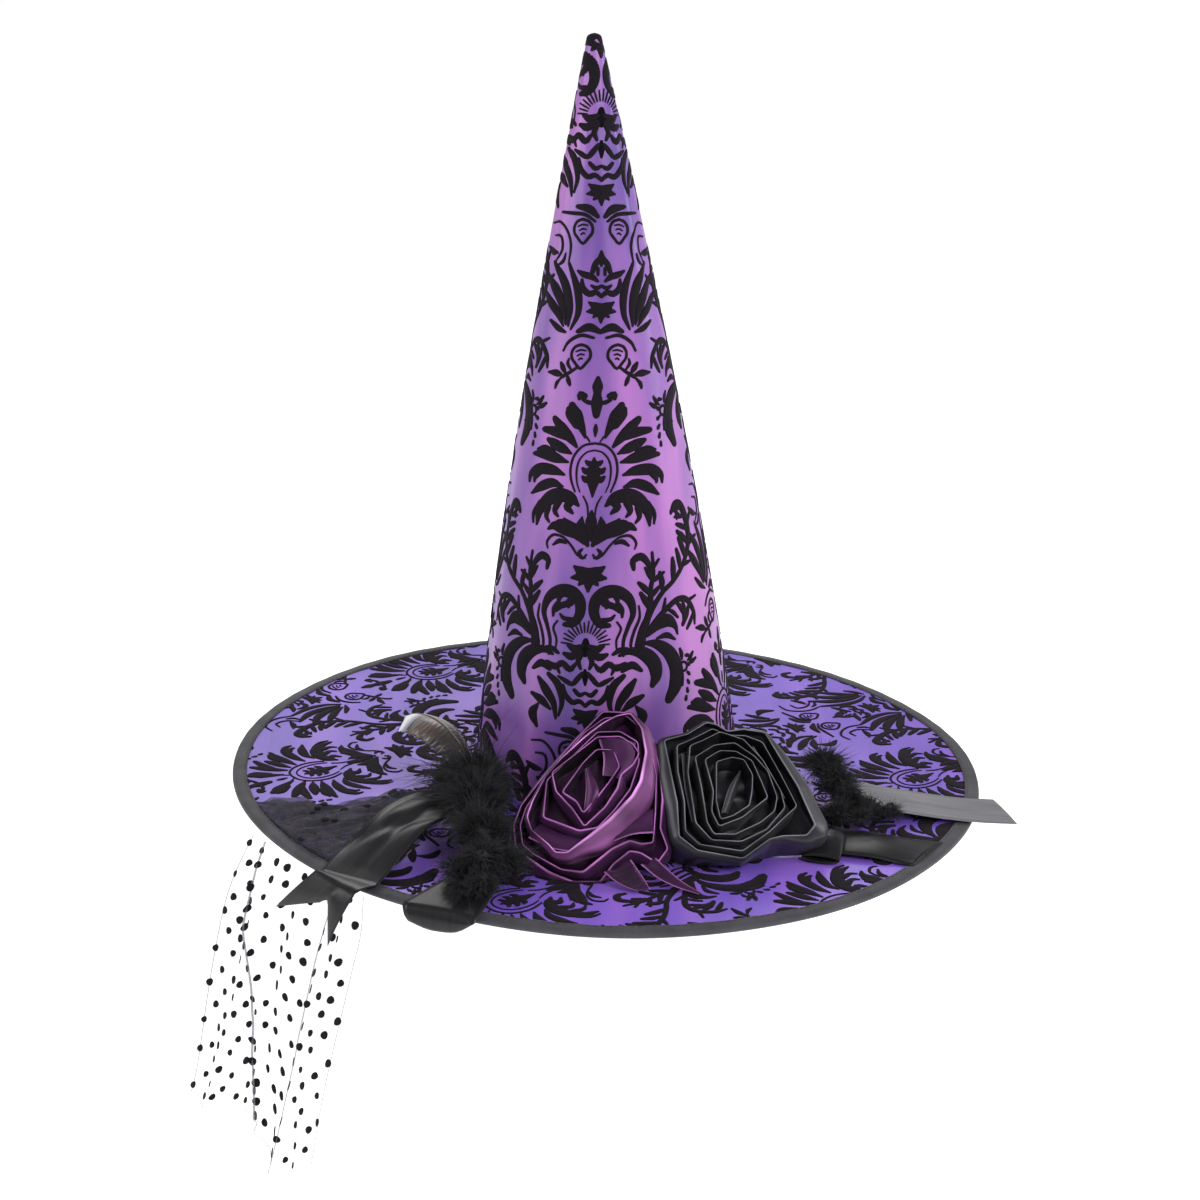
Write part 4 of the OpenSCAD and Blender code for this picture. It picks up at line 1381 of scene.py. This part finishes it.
def make_right_ribbons(material, pale_grey):
    """The two loose ends on the right and the rolled loop between them and the black rose."""
    heights = [(-30, 20), (-12, 16), (2, 12.6), (30, 9.1), (60, 6.8), (82, 6.2)]
    upper = tail_rows((178, -66), -1, heights, -5.5, 40, 0.5)
    strip("ribbon_right_upper", upper, pale_grey, "black_satin", replaces=("right_ribbon_upper",),
          blend=("right_upper", (0.166, -0.066, 0.013), (0.186, -0.066, 0.013)))
    heights = [(-26, 11), (-10, 8), (2, 6.2), (30, 5.3), (52, 5.0)]
    lower = tail_rows((152, -122), -13, heights, 7, 25, 2.2)
    strip("ribbon_right_lower", lower, material, "black_satin", replaces=("right_ribbon_lower",),
          blend=("right_lower", (0.141, -0.1195, 0.0064), (0.160, -0.1238, 0.0064)))
    make_right_loop(material)


def make_right_loop(material):
    """A rolled loop of ribbon, pinched at its front."""
    ahead, aside = headings(-12)
    count, across, share_of_turn = 30, 13, 0.96
    rows = []
    for i in range(count):
        a = TURN * i / (count - 1) * share_of_turn
        row = []
        for k in np.linspace(-1, 1, across):
            high = 5.4 * min(1.0, 0.14 + 0.75 * (k + 1)) ** 0.7
            middle = np.array([139.0, -136, BRIM_TOP + 1.2 + high])
            wide = 8.5 + 3.5 * (1 - k) / 2
            row.append(middle + ahead * (wide * math.cos(a) + 2.0 * k) + high * math.sin(a) * UP
                       + aside * (13 * k + 1.5 * math.sin(a)))
        rows.append(row)
    strip("ribbon_right_loop", rows, material, "black_satin", replaces=("right_ribbon_loop",))


def make_plum_end(material):
    """The plum ribbon's two loose ends in front of its rose: a short tuck and a longer pointed tail."""
    ends = {"plum_ribbon_tuck": ([(1, -190, 12), (7, -194, 8.5), (14, -197, 6), (21, -198.5, 4.6)],
                                 [(17, -182, 17), (22, -187, 12), (26, -192, 8), (29, -197, 4.8)]),
            "plum_ribbon_end": ([(23, -184, 15), (33, -189, 9), (45, -195, 6), (58, -200, 4.4)],
                                [(32, -176, 16), (40, -181, 10.5), (49, -189, 6.4), (60, -199, 4.4)])}
    count, across = 30, 17
    for name, edges in ends.items():
        left, right = (evenly(through(edge, 1.4), count) for edge in edges)
        rows = []
        for i, (a, b) in enumerate(zip(left, right)):
            row = []
            for t in np.linspace(0, 1, across):
                valley = 2.2 * math.exp(-((t - 0.42) / 0.2) ** 2) * (1 - i / count)
                p = a * (1 - t) + b * t - valley * UP
                p[2] = max(p[2], on_brim(p[0], p[1], 0.9))
                row.append(p)
            rows.append(row)
        # Both edges of each end get the folded satin's painted crease highlight.
        strip(name, rows, material, "plum_satin", replaces=("purple_rose_ribbon_end",), lit_edges=True)


# ---- the tulle ----

def add_dot(dots, faces, centre, ex, ey, n, size, phase):
    """One flocked dot: a slightly uneven disc that stands proud on both faces of the net."""
    sides = 12
    back, front = tuple(range(sides))[::-1], tuple(range(3 * sides, 4 * sides))
    faces += shifted(grid_faces(4, sides, True) + [back, front], len(dots))
    for level, shrink in ((-0.25, 0.9), (-0.25, 1.0), (0.25, 1.0), (0.35, 0.7)):
        for k in range(sides):
            angle = k * math.pi / 6
            wobble = 1 + 0.06 * math.sin(3 * angle + phase)
            spoke = ex * math.cos(angle) + ey * math.sin(angle)
            dots.append(centre + spoke * size * shrink * wobble + n * level)


# The veil's two deepest folds: each one's place across, and its drift on the way down.
LEFT_FOLD, RIGHT_FOLD = (0.12, 0.44), (0.78, -0.03)


def make_veil(net, dot_material, edge_material):
    """Dotted tulle that hangs from the brim's edge in a few deep folds."""
    middle, outward, aside = edge_frame(VEIL_AZ, EDGE_GAP)
    left = through([(-52, 1, 0.5), (-60, -22, 8), (-65, -45, 14), (-68, -83, 21), (-71, -153, 33),
                    (-76, -184, 39)], 4)
    right = through([(60, 1, 0.5), (68, -15, 10), (66, -46, 18), (64, -106, 32), (61, -173, 43)], 4)
    foot = [(-76, -184, 39), (-46, -176, 39), (-10, -162, 38), (4, -168, 39), (16, -180, 40),
            (30, -186, 42), (42, -180, 43), (61, -173, 43)]
    bottom = through(foot, 3)
    across, down = 81, 60

    def at(line, t):
        """The places at shares t of the way along a line."""
        k = np.clip(t * (len(line) - 1), 0, len(line) - 1)
        i = np.minimum(k.astype(int), len(line) - 2)
        return line[i] + (line[i + 1] - line[i]) * (k - i)[..., None]

    q, p = np.meshgrid(np.linspace(0, 1, down), np.linspace(0, 1, across), indexing="ij")
    top = np.stack([-52 + 112 * p, 1 + 0 * p, 0.5 + 0 * p], -1)
    lower = at(bottom, p)
    l, r = at(left, q), at(right, q)
    corners = (top[0, 0] * ((1 - p) * (1 - q))[..., None] + top[0, -1] * (p * (1 - q))[..., None]
               + lower[-1, 0] * ((1 - p) * q)[..., None] + lower[-1, -1] * (p * q)[..., None])
    flat = (l * (1 - p)[..., None] + r * p[..., None] + top * (1 - q)[..., None] + lower * q[..., None]
            - corners)
    depth = np.clip(q * 6, 0, 1)
    fold = np.zeros_like(p)
    slide = np.zeros_like(p)
    # Each deep fold's place across, its drift on the way down, its size and its width.
    for start, drift, size, width in (LEFT_FOLD + (6.5, 0.035), RIGHT_FOLD + (4.5, 0.03),
                                      (0.9, 0.0, 3.0, 0.04), (0.3, -0.14, 2.6, 0.06),
                                      (0.5, 0.2, 2.8, 0.05)):
        gap = (p - (start + drift * q)) / width
        fold += size * np.exp(-gap ** 2)
        slide += -0.9 * size * gap * np.exp(-gap ** 2)
    fold += 1.3 * np.sin(2 * math.pi * (3.5 * p + 0.6 * q)) + 0.8 * np.sin(2 * math.pi * (7 * p - q))
    local = flat.copy()
    local[..., 2] += (fold - 1.0) * depth
    local[..., 0] += slide * depth * 0.8

    points = middle + aside * local[..., 0:1] + UP * local[..., 1:2] + outward * local[..., 2:3]
    steps_across = np.linalg.norm(np.diff(points, axis=1), axis=2)
    steps_down = np.linalg.norm(np.diff(points, axis=0), axis=2)
    u = np.concatenate([np.zeros((down, 1)), np.cumsum(steps_across, 1)], 1)
    v = np.concatenate([np.zeros((1, across)), np.cumsum(steps_down, 0)], 0)
    start, end = (middle - outward * 3 + 2 * UP) * MM, (middle + outward * 4 - 7 * UP) * MM
    veil = piece("veil_tulle", points.reshape(-1, 3) * MM, grid_faces(down, across), net, "tulle", body=None,
                 uv=np.stack([u, v], -1).reshape(-1, 2) * MM)
    width, length = steps_across.sum(1).mean() * MM, steps_down.sum(0).mean() * MM
    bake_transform(veil)
    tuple(start)
    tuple(end)
    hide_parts("veil_drop")

    dotted = make_veil_dots(points, u, v, width / MM, length / MM, dot_material)
    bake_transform(dotted)
    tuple(start)
    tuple(end)
    rolled = make_veil_edges(points, outward, aside, edge_material)
    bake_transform(rolled)
    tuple(start)
    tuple(end)


def make_veil_dots(points, u, v, width, length, material):
    """Flock dots in uneven, staggered rows over the net. u and v are each point's flat place on it."""
    down, across = u.shape
    normals = unit(np.cross(np.gradient(points, axis=0), np.gradient(points, axis=1)))
    draw = np.random.default_rng(31)
    dots, faces = [], []
    pitch = 14.5
    for i in range(int(length / pitch * 1.2) + 1):
        for j in range(int(width / pitch * 1.3) + 1):
            want_u = (j + (0.5 if i % 2 else 0)) * pitch + draw.normal(0, 1.1)
            want_v = 5 + i * pitch * 0.86 + draw.normal(0, 1.1)
            row = min(int(np.clip(want_v / length, 0, 0.999) * down), down - 1)
            column = int(np.searchsorted(u[row], want_u))
            row = int(np.searchsorted(v[:, min(column, across - 1)], want_v))
            if row >= down - 1 or column >= across - 1:
                continue
            a, b, c = points[row, column], points[row, column + 1], points[row + 1, column]
            size = draw.uniform(2.2, 2.8)
            add_dot(dots, faces, a, unit(b - a), unit(c - a), normals[row, column], size, want_u)
    return piece("veil_flock_dots", np.array(dots) * MM, faces, material, "tulle", body=None)


def make_veil_edges(grid, outward, aside, material):
    """The net's edges and two deepest folds, where it is rolled or doubled, as thin tubes."""
    down, across = grid.shape[:2]
    lines = [grid[:, 0], grid[:, -1], grid[-1, :]]
    for start, drift in (LEFT_FOLD, RIGHT_FOLD):
        places = (start + drift * np.linspace(0, 1, down)) * (across - 1)
        lines.append(grid[np.arange(down), np.clip(places.astype(int), 0, across - 1)])
    points, faces, sides = [], [], 5
    for line, radius in zip(lines, (0.3, 0.2, 0.24, 0.75, 0.35)):
        line = through(line[::3], 3)
        faces += shifted(grid_faces(len(line), sides, True), len(points))
        for centre in line:
            for k in range(sides):
                a = TURN * k / sides
                points.append(centre + radius * (outward * math.cos(a) + aside * math.sin(a)))
    return piece("veil_rolled_edges", np.array(points) * MM, faces, material, "tulle", body=None)


def make_gather(net, dot_material):
    """Tulle bunched in soft wrinkles on the brim, several layers deep."""
    outline = np.array([(-100, -92), (-112, -62), (-136, -66), (-158, -84), (-182, -98), (-200, -86),
                        (-224, -90), (-214, -128), (-186, -168), (-150, -196), (-126, -172),
                        (-112, -130)], float)
    centre = outline.mean(0)
    rings, columns, inside_binding = 26, 96, BRIM_R - 9.9
    edge = evenly(through([*outline, outline[0]], 3)[:-1], columns)
    for layer in range(3):
        draw = np.random.default_rng(41 + layer)
        points, uv = [], []
        phases = draw.uniform(0, 6, 6)
        for i in range(rings):
            t = 0.03 + 0.97 * i / (rings - 1)
            for j in range(columns):
                scallop = 0.05 * math.sin(5 * 2 * math.pi * j / columns + phases[0]) * (layer > 0)
                x, y = centre + (edge[j] - centre) * t * (1 - 0.05 * layer - scallop)
                limit = inside_binding / max(math.hypot(x, y), inside_binding)
                x, y = x * limit, y * limit
                across = 0.72 * x + 0.69 * y
                along = -0.69 * x + 0.72 * y
                crumple = (math.sin(along / 4.1 + 1.3 * math.sin(across / 17) + phases[1])
                           + 0.8 * math.sin(along / 2.3 + across / 29 + phases[2])
                           + 0.7 * math.sin(across / 6.5 + 2 * math.sin(along / 13) + phases[3]))
                rise = min(1, (1 - t) * 6) * (2.8 + 1.9 * crumple) + layer * 1.1 * min(1, (1 - t) * 5)
                points.append((x, y, on_brim(x, y, 0.5 + max(rise, 0.05 * layer))))
                uv.append((x, y))
        faces = grid_faces(rings, columns, True) + [tuple(range(columns))[::-1]]
        points = np.array(points)
        made = piece(f"tulle_gather_{layer + 1}", points * MM, faces, net, "tulle", uv=np.array(uv) * MM)
        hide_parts("veil_gather")
    dots, dot_faces, right, back = [], [], np.array([1.0, 0, 0]), np.array([0, 1.0, 0])
    for k in range(28):
        at = points[draw.integers(5, rings - 3) * columns + draw.integers(0, columns)]
        add_dot(dots, dot_faces, at + 0.5 * UP, right, back, UP, draw.uniform(1.9, 2.6), k)
    piece("tulle_gather_dots", np.array(dots) * MM, dot_faces, dot_material, "tulle")


# ---- materials of the trimmings ----

def ribbon_satin(name, colour, dark, roughness=0.3, coat=0.02, specular=0.24):
    """Ribbon: a tight glossy satin with fine lengthwise threads and a soft grey sheen."""
    material, tree, shader = plain(name, colour, roughness, Sheen_Weight=0.04, Anisotropic=0.6,
                                   Coat_Weight=coat, Coat_Roughness=0.35, Specular_IOR_Level=specular)
    shader.inputs["Sheen Tint"].default_value = (0.6, 0.58, 0.66, 1)
    shader.inputs["Sheen Roughness"].default_value = 0.3
    streaks = noise(tree, cloth_coordinates(tree, (420, 22, 1)), 1.0, 2.0)
    tree.links.new(ramp(tree, streaks, [(0.25, dark), (0.75, colour)]), shader.inputs["Base Color"])
    soft = add_bump(tree, shader, streaks, 0.2, 0.0003)
    weave = bands(tree, cloth_coordinates(tree), 330, 0.5, "Y")
    add_bump(tree, shader, weave, 0.15, 0.0001, soft)
    return material


def folded_satin(name, colour, deep, light, gloss_tint, patchy):
    """Ribbon folded into a rose, with painted light: a painted highlight on its creases and painted shade on
    its inner walls.
    """
    material, tree, shader = plain(name, colour, 0.34, Sheen_Weight=0.03, Anisotropic=0.5,
                                   Specular_IOR_Level=0.4)
    shader.inputs["Specular Tint"].default_value = (*gloss_tint, 1)
    across = node(tree, "ShaderNodeSeparateXYZ", {0: cloth_coordinates(tree)}).outputs["X"]
    place = rescaled(tree, across, From_Min=-0.006, From_Max=0.006)
    # The colours across each fold are painted light: deep is painted shade down the inner wall, light is a
    # painted highlight on the crease, and the band just past the crease is a dimmer painted shade before the
    # satin's own colour.
    shaded = [0.45 * c for c in colour]
    shade = ramp(tree, place, [(0.0, deep), (0.46, deep), (0.492, light), (0.535, light), (0.575, shaded),
                               (0.8, colour), (1.0, colour)])
    threads = noise(tree, cloth_coordinates(tree, (420, 30, 1)), 1.0, 2.0)
    worn = rescaled(tree, threads, To_Min=0.62, To_Max=1.3)
    slow = noise(tree, cloth_coordinates(tree, (90, 30, 1)), 1.0, 1.0)
    patches = rescaled(tree, slow, From_Min=0.35, From_Max=0.65, To_Min=1 - patchy, To_Max=1 + patchy)
    tree.links.new(product(tree, product(tree, shade, worn), patches), shader.inputs["Base Color"])
    add_bump(tree, shader, threads, 0.25, 0.0003)
    return material


def tulle_net(name, alpha, colour=(0.16, 0.155, 0.18), sheen=0.2):
    """Fine net: mostly holes, so it is nearly clear, with darker patches where layers lie together."""
    material, tree, shader = plain(name, colour, 0.7, Sheen_Weight=sheen)
    patches = noise(tree, cloth_coordinates(tree, (70, 70, 1)), 1.0)
    spread = rescaled(tree, patches, From_Min=0.3, From_Max=0.7, To_Min=alpha * 0.45, To_Max=alpha * 1.45)
    tree.links.new(spread, shader.inputs["Alpha"])
    add_bump(tree, shader, bands(tree, cloth_coordinates(tree), 180, 1.5, "DIAGONAL"), 0.2, 0.0002)
    return material


def feather_material():
    """Dark brown barbs with a painted silvery-white highlight near the tip."""
    material, tree, shader = plain("coque_feather", (0.05, 0.04, 0.035), 0.3, Sheen_Weight=0.3,
                                   Coat_Weight=0.3, Coat_Roughness=0.3)
    along = node(tree, "ShaderNodeSeparateXYZ", {0: cloth_coordinates(tree)}).outputs["Y"]
    place = rescaled(tree, along, From_Min=0.0, From_Max=0.084)
    # The white and pale grey stops near the tip are a painted highlight on the glossy barbs.
    colour = ramp(tree, place, [(0.0, (0.006, 0.005, 0.005)), (0.3, (0.014, 0.008, 0.006)),
                                (0.5, (0.06, 0.028, 0.018)), (0.66, (0.055, 0.05, 0.055)),
                                (0.82, (0.92, 0.9, 1.0)), (0.93, (0.6, 0.57, 0.62)),
                                (1.0, (0.2, 0.16, 0.13))])
    tree.links.new(colour, shader.inputs["Base Color"])
    barbs = bands(tree, cloth_coordinates(tree, (0.6, 1, 1)), 180, 1.2, "DIAGONAL")
    add_bump(tree, shader, barbs, 0.5, 0.0003)
    return material


def finish_cad_nodes(materials):
    """Gives each CAD node that still shows its finished material."""
    chosen = {"crown_board": "board", "brim_board": "board", "crown_lining": "lining",
              "brim_under_cover": "lining", "sweatband": "ribbon", "purple_rose_pad": "felt",
              "black_rose_pad": "felt", "marabou_cord": "thread", "thread_tacks": "thread"}
    for name, key in chosen.items():
        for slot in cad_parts[name].material_slots:
            slot.material = materials[key]


def make_body(velvet, thread, materials):
    """The crown and the brim with all their layers."""
    crown_satin = satin("crown_satin", [(0.30, (0.105, 0.05, 0.26)), (0.5, (0.23, 0.095, 0.36)),
                                        (0.68, (0.40, 0.15, 0.45))], upright=True)
    brim_satin = satin("brim_satin", [(0.3, (0.145, 0.078, 0.46)), (0.5, (0.2, 0.1, 0.56)),
                                      (0.7, (0.29, 0.135, 0.63))], upright=False)
    make_crown(crown_satin)
    make_crown_damask(velvet)
    make_tip_flock(velvet)
    make_brim_top(brim_satin)
    make_brim_damask(velvet)
    make_brim_layer("brim_stiffener", "brim_board", 0.5, 2.5, materials["board"], "stiffener")
    make_brim_layer("brim_lining", "brim_under_cover", 0.0, 0.48, materials["lining"], "lining")
    make_binding(tape())
    make_stitches(thread)
    make_wire(materials["wire"])


def make_trimmings(velvet):
    """The roses, the down, the feather, the ribbons and the tulle."""
    plum_tint, black_tint = (0.95, 0.5, 0.95), (0.9, 0.9, 1.0)
    # Each folded satin: its colour, the painted shade of its inner walls, the painted highlight of its
    # creases, its gloss tint and how patchy it is.
    plum_folds = folded_satin("plum_folded_satin", (0.05, 0.013, 0.057), (0.004, 0.001, 0.005),
                              (0.42, 0.14, 0.44), plum_tint, 0.35)
    # A lighter copy of the plum folded satin, painted as if lit, for the rose's broad smooth turn.
    plum_painted_lit = folded_satin("plum_lit_satin", (0.2, 0.066, 0.2), (0.02, 0.005, 0.022),
                            (0.6, 0.24, 0.62), plum_tint, 0.75)
    black_folds = folded_satin("black_folded_satin", (0.03, 0.029, 0.034), (0.002, 0.002, 0.0024),
                               (0.15, 0.15, 0.17), black_tint, 0.3)
    make_purple_rose(plum_folds, plum_painted_lit)
    make_black_rose(black_folds)
    make_marabou(woven("marabou_down", (0.004, 0.004, 0.0065), 0.7, 2600, 0.03))
    make_feather(feather_material(), woven("quill", (0.09, 0.06, 0.045), 0.4, 800))
    black_ribbon = ribbon_satin("black_ribbon_satin", (0.014, 0.0135, 0.016), (0.006, 0.006, 0.007))
    # A pale grey copy of the black ribbon satin, for the upper loose end on the right.
    pale_grey_ribbon = ribbon_satin("pale_grey_ribbon_satin", (0.2, 0.197, 0.215), (0.135, 0.132, 0.145),
                                0.5, 0.04, 0.4)
    make_left_ribbon(black_ribbon)
    make_front_ribbon(black_ribbon)
    make_right_ribbons(black_ribbon, pale_grey_ribbon)
    make_plum_end(plum_folds)
    make_veil(tulle_net("veil_net", 0.075), velvet, tulle_net("veil_edge", 0.5))
    make_gather(tulle_net("gathered_net", 0.46, (0.035, 0.032, 0.042), 0.05), velvet)


def build():
    make_camera()
    make_lights_and_floor()
    velvet = flock()
    thread = woven("black_thread", (0.03, 0.028, 0.034), 0.6, 3000)
    materials = {"board": woven("stiff_board", (0.06, 0.055, 0.07), 0.8, 700),
                 "lining": woven("black_lining", (0.02, 0.02, 0.024), 0.6, 2200),
                 "ribbon": woven("sweatband_grosgrain", (0.022, 0.021, 0.025), 0.55, 1500),
                 "felt": woven("black_felt", (0.03, 0.028, 0.03), 0.95, 1800, 0.5),
                 "thread": thread,
                 "wire": plain("wire_steel", (0.5, 0.5, 0.52), 0.35, Metallic=1.0)[0]}
    finish_cad_nodes(materials)
    make_body(velvet, thread, materials)
    make_trimmings(velvet)


PATTERN = damask_repeat()
build()
